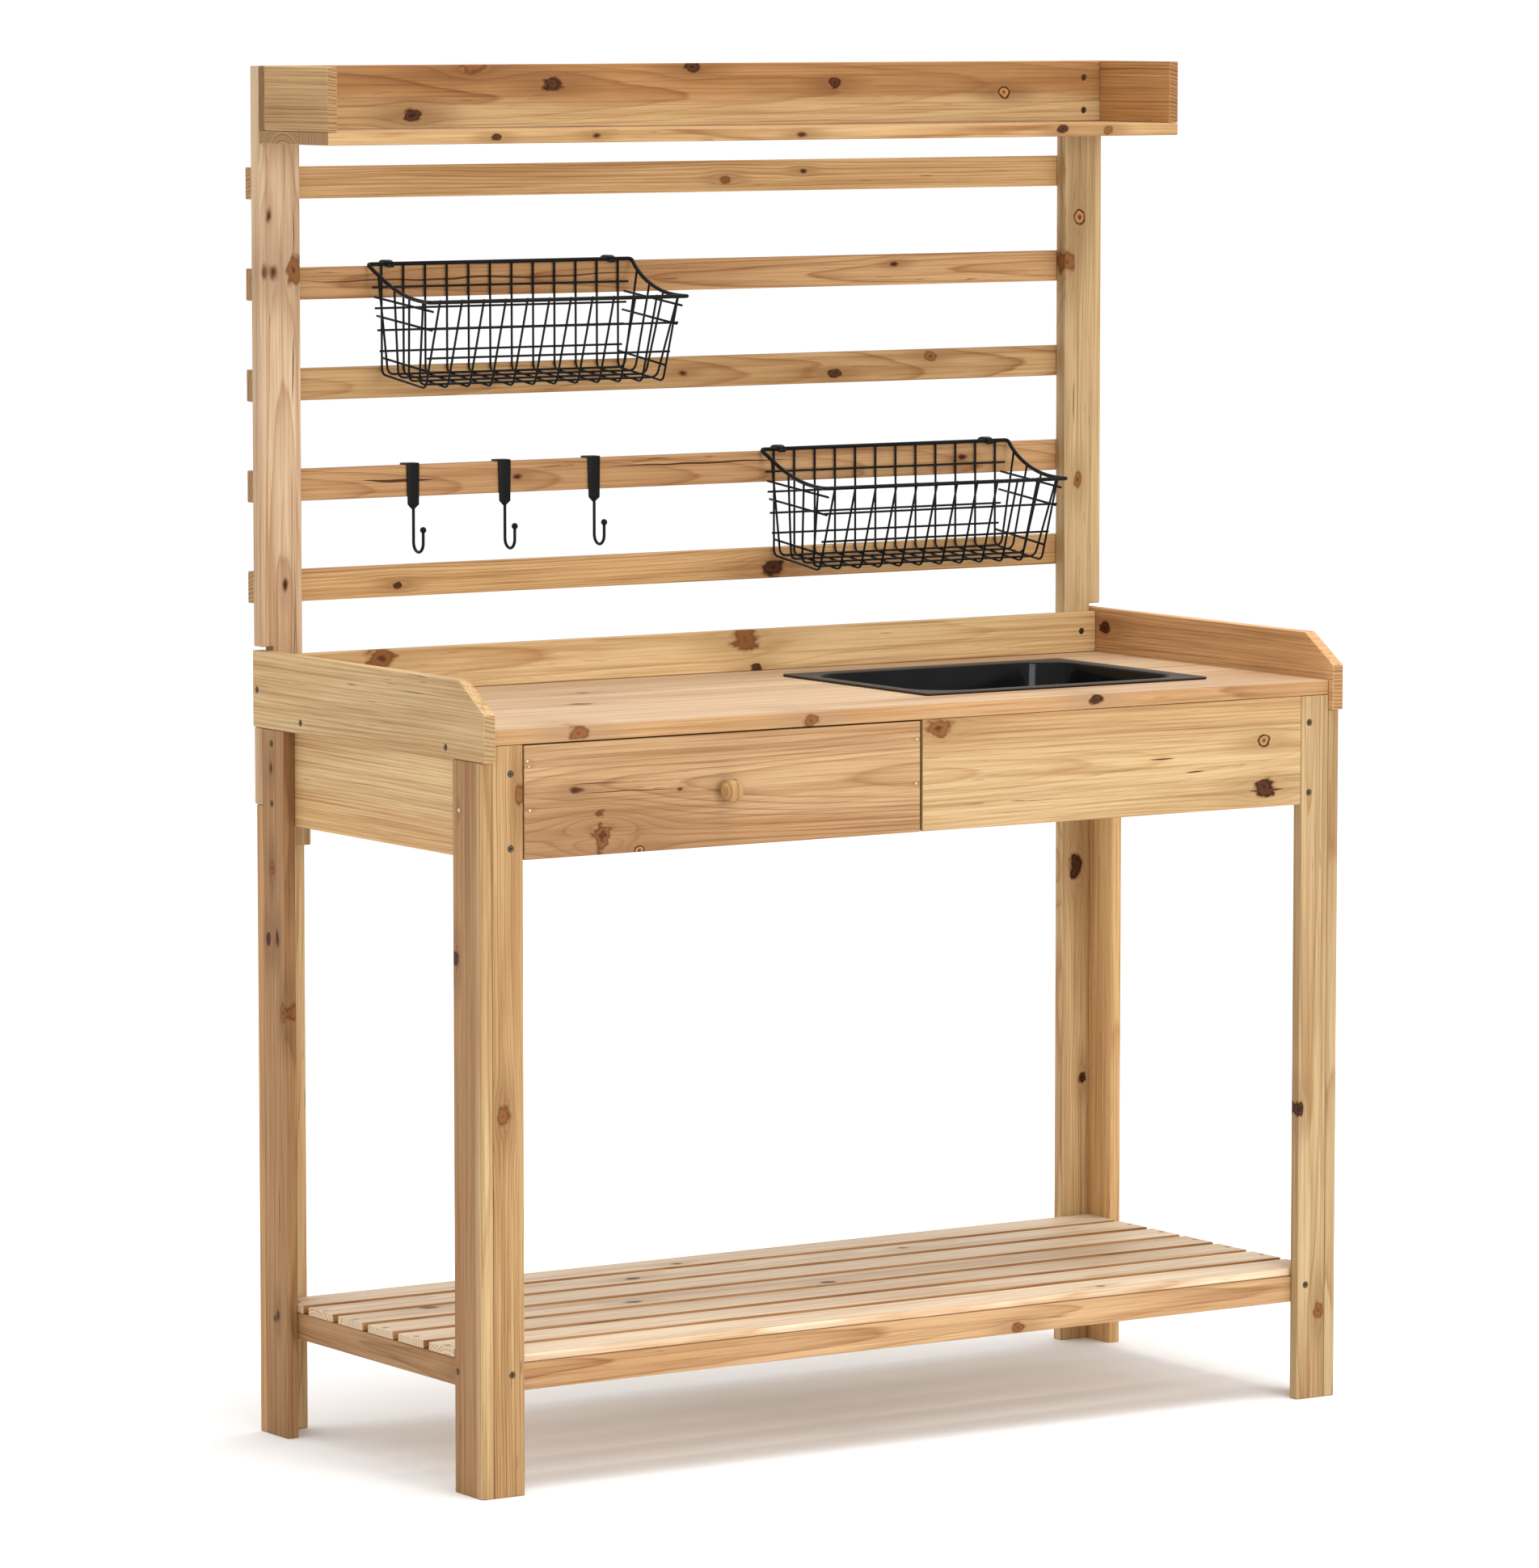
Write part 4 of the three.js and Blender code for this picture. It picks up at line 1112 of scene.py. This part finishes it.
def sink_rim(top):
    """Rings from the flange's underside round its outer edge and down into the bowl."""
    steps = 4
    inner = SINK_LIP + SINK_WALL
    rings = [(0.4 * MM, SINK_LIP_CORNER, top - SINK_LIP_THICKNESS)]
    for turn in arc(steps):
        height = top - SINK_EDGE * (1 - math.sin(turn))
        rings.append((SINK_EDGE * (1 - math.cos(turn)), SINK_LIP_CORNER, height))
    rings.append((inner - SINK_ROLL, SINK_CORNER, top))
    for turn in arc(steps, first=1):
        inset = inner - SINK_ROLL * (1 - math.sin(turn))
        rings.append((inset, SINK_CORNER - SINK_WALL, top - SINK_ROLL * (1 - math.cos(turn))))
    return rings


def make_sink():
    """A moulded basin: a thin flange with a rounded rim, drafted walls and a coved floor."""
    low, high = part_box("sink")
    centre = (low + high) / 2
    half_width = (high.x - low.x) / 2
    half_depth = (high.y - low.y) / 2
    top = high.z
    outside = sink_wall(SINK_LIP, low.z, SINK_CORNER, top - SINK_LIP_THICKNESS)
    inner_corner = SINK_CORNER - SINK_WALL
    inside = sink_wall(SINK_LIP + SINK_WALL, low.z + SINK_WALL, inner_corner, top - SINK_ROLL)
    rings = []
    for inset, radius, z in outside[::-1] + sink_rim(top) + inside[1:]:
        rings.append(sink_ring(centre, half_width - inset, half_depth - inset, radius, z))

    bm = bmesh.new()
    loops = [[bm.verts.new(point) for point in ring] for ring in rings]
    for lower, upper in zip(loops, loops[1:]):
        for index in range(len(lower)):
            after = (index + 1) % len(lower)
            bm.faces.new((lower[index], lower[after], upper[after], upper[index]))
    bm.faces.new(list(reversed(loops[0])))
    bm.faces.new(loops[-1])
    show(from_bmesh("sink_basin", bm), "sink", moulded_plastic(top - FLANGE_DROP), 50.0)


# ---------- baskets

WIRE = 2.6 * MM
RIM_WIRE = 4.4 * MM
BASKET_FLARE = 15 * MM
BASKET_RIM_OVERHANG = 3 * MM
BASKET_FRONT_DROP = 38 * MM
BASKET_FLOOR_FALL = 12 * MM
BASKET_FLOOR_DEPTH = 94 * MM
BASKET_RIM_DEPTH = 126 * MM
BASKET_HEIGHT = 121 * MM
BASKET_LOOPS = 12
BASKET_BEND = 9 * MM
BASKET_BACK_LEVELS = (0.21, 0.4, 0.6, 0.79)
BASKET_FRONT_LEVELS = (0.31, 0.65)
BASKET_END_LEVELS = (0.3, 0.47, 0.85)
BASKET_LONG_WIRES = (0.14, 0.38, 0.62, 0.86)
TAB_WIDTH = 9 * MM
TAB_THICKNESS = 2 * MM
TAB_LIP = 12 * MM
TAB_INSET = 9.5 * MM
TAB_ARCH = 4.6 * MM
CLEARANCE = 0.3 * MM
SLAT_THICKNESS = 12 * MM
WIRE_TIP = 1.6 * MM  # how far the wires stand above the front rim


def between(value, start, end, low, high):
    return low + (value - start) / (end - start) * (high - low)


class Basket:
    """One basket's measures. Local Y is 0 at the back grid and Z is 0 at the slat's upper edge."""

    def __init__(self, node):
        low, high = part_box(node)
        self.x = (low.x + high.x) / 2
        self.y = high.y - TAB_THICKNESS - 2 * CLEARANCE - SLAT_THICKNESS - RIM_WIRE / 2
        self.rim = RIM_WIRE / 2 + CLEARANCE
        self.z = high.z - self.rim - RIM_WIRE / 2
        self.half = (high.x - low.x) / 2 - BASKET_FLARE - BASKET_RIM_OVERHANG - 0.8 * MM
        self.front_rim = self.rim - BASKET_FRONT_DROP
        self.floor = self.rim - BASKET_HEIGHT
        self.front_floor = self.floor - BASKET_FLOOR_FALL

    def at(self, x, forward, z):
        return Vector((self.x + x, self.y - forward, self.z + z))

    def end_half(self, z):
        return between(z, self.floor, self.rim, self.half, self.half + BASKET_FLARE)

    def front_grid(self, z):
        return between(z, self.front_floor, self.front_rim, BASKET_FLOOR_DEPTH, BASKET_RIM_DEPTH)

    def floor_height(self, forward):
        return between(forward, 0.0, BASKET_FLOOR_DEPTH, self.floor, self.front_floor)

    def side_rim(self, share):
        """The rim falls steeply at the back and levels out towards the front."""
        z = self.rim - BASKET_FRONT_DROP * (1 - (1 - share) ** 2.4)
        flare = BASKET_RIM_OVERHANG * abs(2 * share - 1) ** 4
        return self.end_half(z) + flare, BASKET_RIM_DEPTH * share, z


def basket_rim(bm, basket):
    steps = 14
    right = [basket.side_rim(step / steps) for step in range(steps + 1)]
    path = [basket.at(x, forward, z) for x, forward, z in right]
    path += [basket.at(-x, forward, z) for x, forward, z in reversed(right)]
    tube(bm, rounded(path, 5 * MM, 5, closed=True), RIM_WIRE / 2, 12, closed=True)


def basket_loops(bm, basket):
    for index in range(BASKET_LOOPS):
        x = between(index, 0, BASKET_LOOPS - 1, -basket.half, basket.half)
        path = [
            basket.at(x, 0.0, basket.rim + 0.5 * MM),
            basket.at(x, 0.0, basket.floor),
            basket.at(x, BASKET_FLOOR_DEPTH, basket.front_floor),
            basket.at(x, BASKET_RIM_DEPTH, basket.front_rim + WIRE_TIP),
        ]
        tube(bm, rounded(path, BASKET_BEND), WIRE / 2)


def basket_long_loops(bm, basket):
    """Wires down one end grid, along the floor and up the other."""
    for share in BASKET_LONG_WIRES:
        forward = BASKET_FLOOR_DEPTH * share
        low = basket.floor_height(forward) + WIRE * 0.8
        rim_half, rim_forward, rim_z = basket.side_rim(share)
        path = []
        for side in (-1, 1):
            end = [
                basket.at(side * rim_half, rim_forward, rim_z + 0.5 * MM),
                basket.at(side * basket.half, forward, low),
            ]
            path += end if side < 0 else list(reversed(end))
        tube(bm, rounded(path, BASKET_BEND), WIRE / 2)


def basket_levels(bm, basket):
    """Straight wires across the back, front and end grids."""
    inside = WIRE * 0.8
    for share in BASKET_BACK_LEVELS:
        z = between(share, 0.0, 1.0, basket.rim, basket.floor)
        half = basket.end_half(z)
        tube(bm, [basket.at(-half, inside, z), basket.at(half, inside, z)], WIRE / 2)
    for share in BASKET_FRONT_LEVELS:
        z = between(share, 0.0, 1.0, basket.front_rim, basket.front_floor)
        half = basket.end_half(z)
        forward = basket.front_grid(z) - inside
        tube(bm, [basket.at(-half, forward, z), basket.at(half, forward, z)], WIRE / 2)
    for share in BASKET_END_LEVELS:
        z = between(share, 0.0, 1.0, basket.rim, basket.floor)
        front_z = z - BASKET_FLOOR_FALL
        for side in (-1, 1):
            back = basket.at(side * (basket.end_half(z) - inside), 0.0, z)
            front_half = basket.end_half(front_z) - inside
            front = basket.at(side * front_half, basket.front_grid(front_z), front_z)
            tube(bm, [back, front], WIRE / 2)


def strap(bm, outline, x, widths):
    """A bent strip: outline is its edge in (Y, Z); widths gives the half width at each point."""
    rings = []
    for way in (-1, 1):
        rings.append([bm.verts.new((x + way * half, y, z)) for (y, z), half in zip(outline, widths)])
    bm.faces.new(rings[0])
    bm.faces.new(list(reversed(rings[1])))
    for index in range(len(outline)):
        after = (index + 1) % len(outline)
        bm.faces.new((rings[0][after], rings[0][index], rings[1][index], rings[1][after]))


def basket_tabs(basket):
    """Straps that wrap the rim and arch over the slat, with eased edges."""
    bm = bmesh.new()
    rear = RIM_WIRE / 2 + SLAT_THICKNESS + 2 * CLEARANCE
    front = -RIM_WIRE / 2 - TAB_THICKNESS
    middle = (rear + TAB_THICKNESS + front) / 2
    reach = (rear + TAB_THICKNESS - front) / 2
    outer, inner = [], []
    for turn in arc(12, math.pi):
        across, up = math.cos(turn), math.sin(turn) ** 0.7
        outer.append((middle - reach * across, CLEARANCE + (TAB_ARCH + TAB_THICKNESS) * up))
        inner.append((middle - (reach - TAB_THICKNESS) * across, CLEARANCE + TAB_ARCH * up))
    outer.append((rear + TAB_THICKNESS, -TAB_LIP))
    inner.append((rear, -TAB_LIP))
    outline = [(front + 0.4 * MM, -1.6 * MM)] + outer + inner[::-1]
    outline.append((front + TAB_THICKNESS, -1.2 * MM))
    for side in (-1, 1):
        x = basket.x + side * (basket.half - TAB_INSET)
        points = [(basket.y + back, basket.z + z) for back, z in outline]
        strap(bm, points, x, [TAB_WIDTH / 2] * len(points))
    bmesh.ops.recalc_face_normals(bm, faces=bm.faces)
    ease_edges(bm, 0.5 * MM, 2, 50.0)
    return bm


def make_basket(node, material):
    basket = Basket(node)
    bm = bmesh.new()
    basket_rim(bm, basket)
    basket_loops(bm, basket)
    basket_long_loops(bm, basket)
    basket_levels(bm, basket)
    show(from_bmesh(f"{node}_wires", bm), node, material, 50.0)
    show(from_bmesh(f"{node}_tabs", basket_tabs(basket)), node, material)


# ---------- hooks

HOOK_STRAP = 1.8 * MM
HOOK_LIP = 6 * MM
HOOK_PLATE = 46 * MM
HOOK_TIP = 5 * MM
HOOK_WIRE = 3.4 * MM
HOOK_BEND = 10.5 * MM
HOOK_BALL = 3.6 * MM
HOOK_BALL_RISE = 25 * MM


def make_hook(node, material):
    """A strap over the slat, narrowing to a point, with a bent wire and a ball on its end."""
    low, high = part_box(node)
    x = (low.x + high.x) / 2
    half = (high.x - low.x) / 2
    top = high.z
    rear = high.y
    face = rear - HOOK_STRAP - SLAT_THICKNESS - 2 * CLEARANCE - HOOK_STRAP
    bottom = top - HOOK_PLATE
    tip = bottom - HOOK_TIP
    curl = 1.2 * MM
    under = top - HOOK_STRAP
    lip = under - HOOK_LIP
    behind = face + HOOK_STRAP
    before = rear - HOOK_STRAP
    outline = [
        (face, tip), (behind, tip), (behind, bottom), (behind, under), (before, under), (before, lip),
        (rear, lip), (rear, top - curl), (rear - curl, top), (face + curl, top), (face, top - curl),
        (face, bottom),
    ]
    narrow = half * 0.86
    widths = [HOOK_WIRE / 2] * 2 + [narrow] + [half] * 8 + [narrow]
    bm = bmesh.new()
    strap(bm, outline, x, widths)
    bmesh.ops.recalc_face_normals(bm, faces=bm.faces)
    ease_edges(bm, 0.35 * MM, 2)
    wire_y = face + HOOK_STRAP - HOOK_WIRE / 2
    lowest = low.z + HOOK_WIRE / 2
    centre_z = lowest + HOOK_BEND
    path = [Vector((x, wire_y, tip + 3 * MM))]
    for turn in arc(18, math.pi):
        y = wire_y - HOOK_BEND * (1 - math.cos(turn))
        path.append(Vector((x, y, centre_z - HOOK_BEND * math.sin(turn))))
    ball = Vector((x, wire_y - 2 * HOOK_BEND, lowest + HOOK_BALL_RISE))
    path.append(ball)
    tube(bm, path, HOOK_WIRE / 2, 14)
    profile = [(HOOK_BALL * math.sin(turn), -HOOK_BALL * math.cos(turn)) for turn in arc(12, math.pi)]
    lathe(bm, profile, ball, Matrix.Identity(3), 24)
    show(from_bmesh(f"{node}_steel", bm), node, material, 45.0)


# ---------- assembly

make_camera()
make_studio()
make_floor()
make_boards()
make_knob()
make_sink()
coat = powder_coat()
for basket_node in BASKETS:
    make_basket(basket_node, coat)
for hook_node in HOOKS:
    make_hook(hook_node, coat)
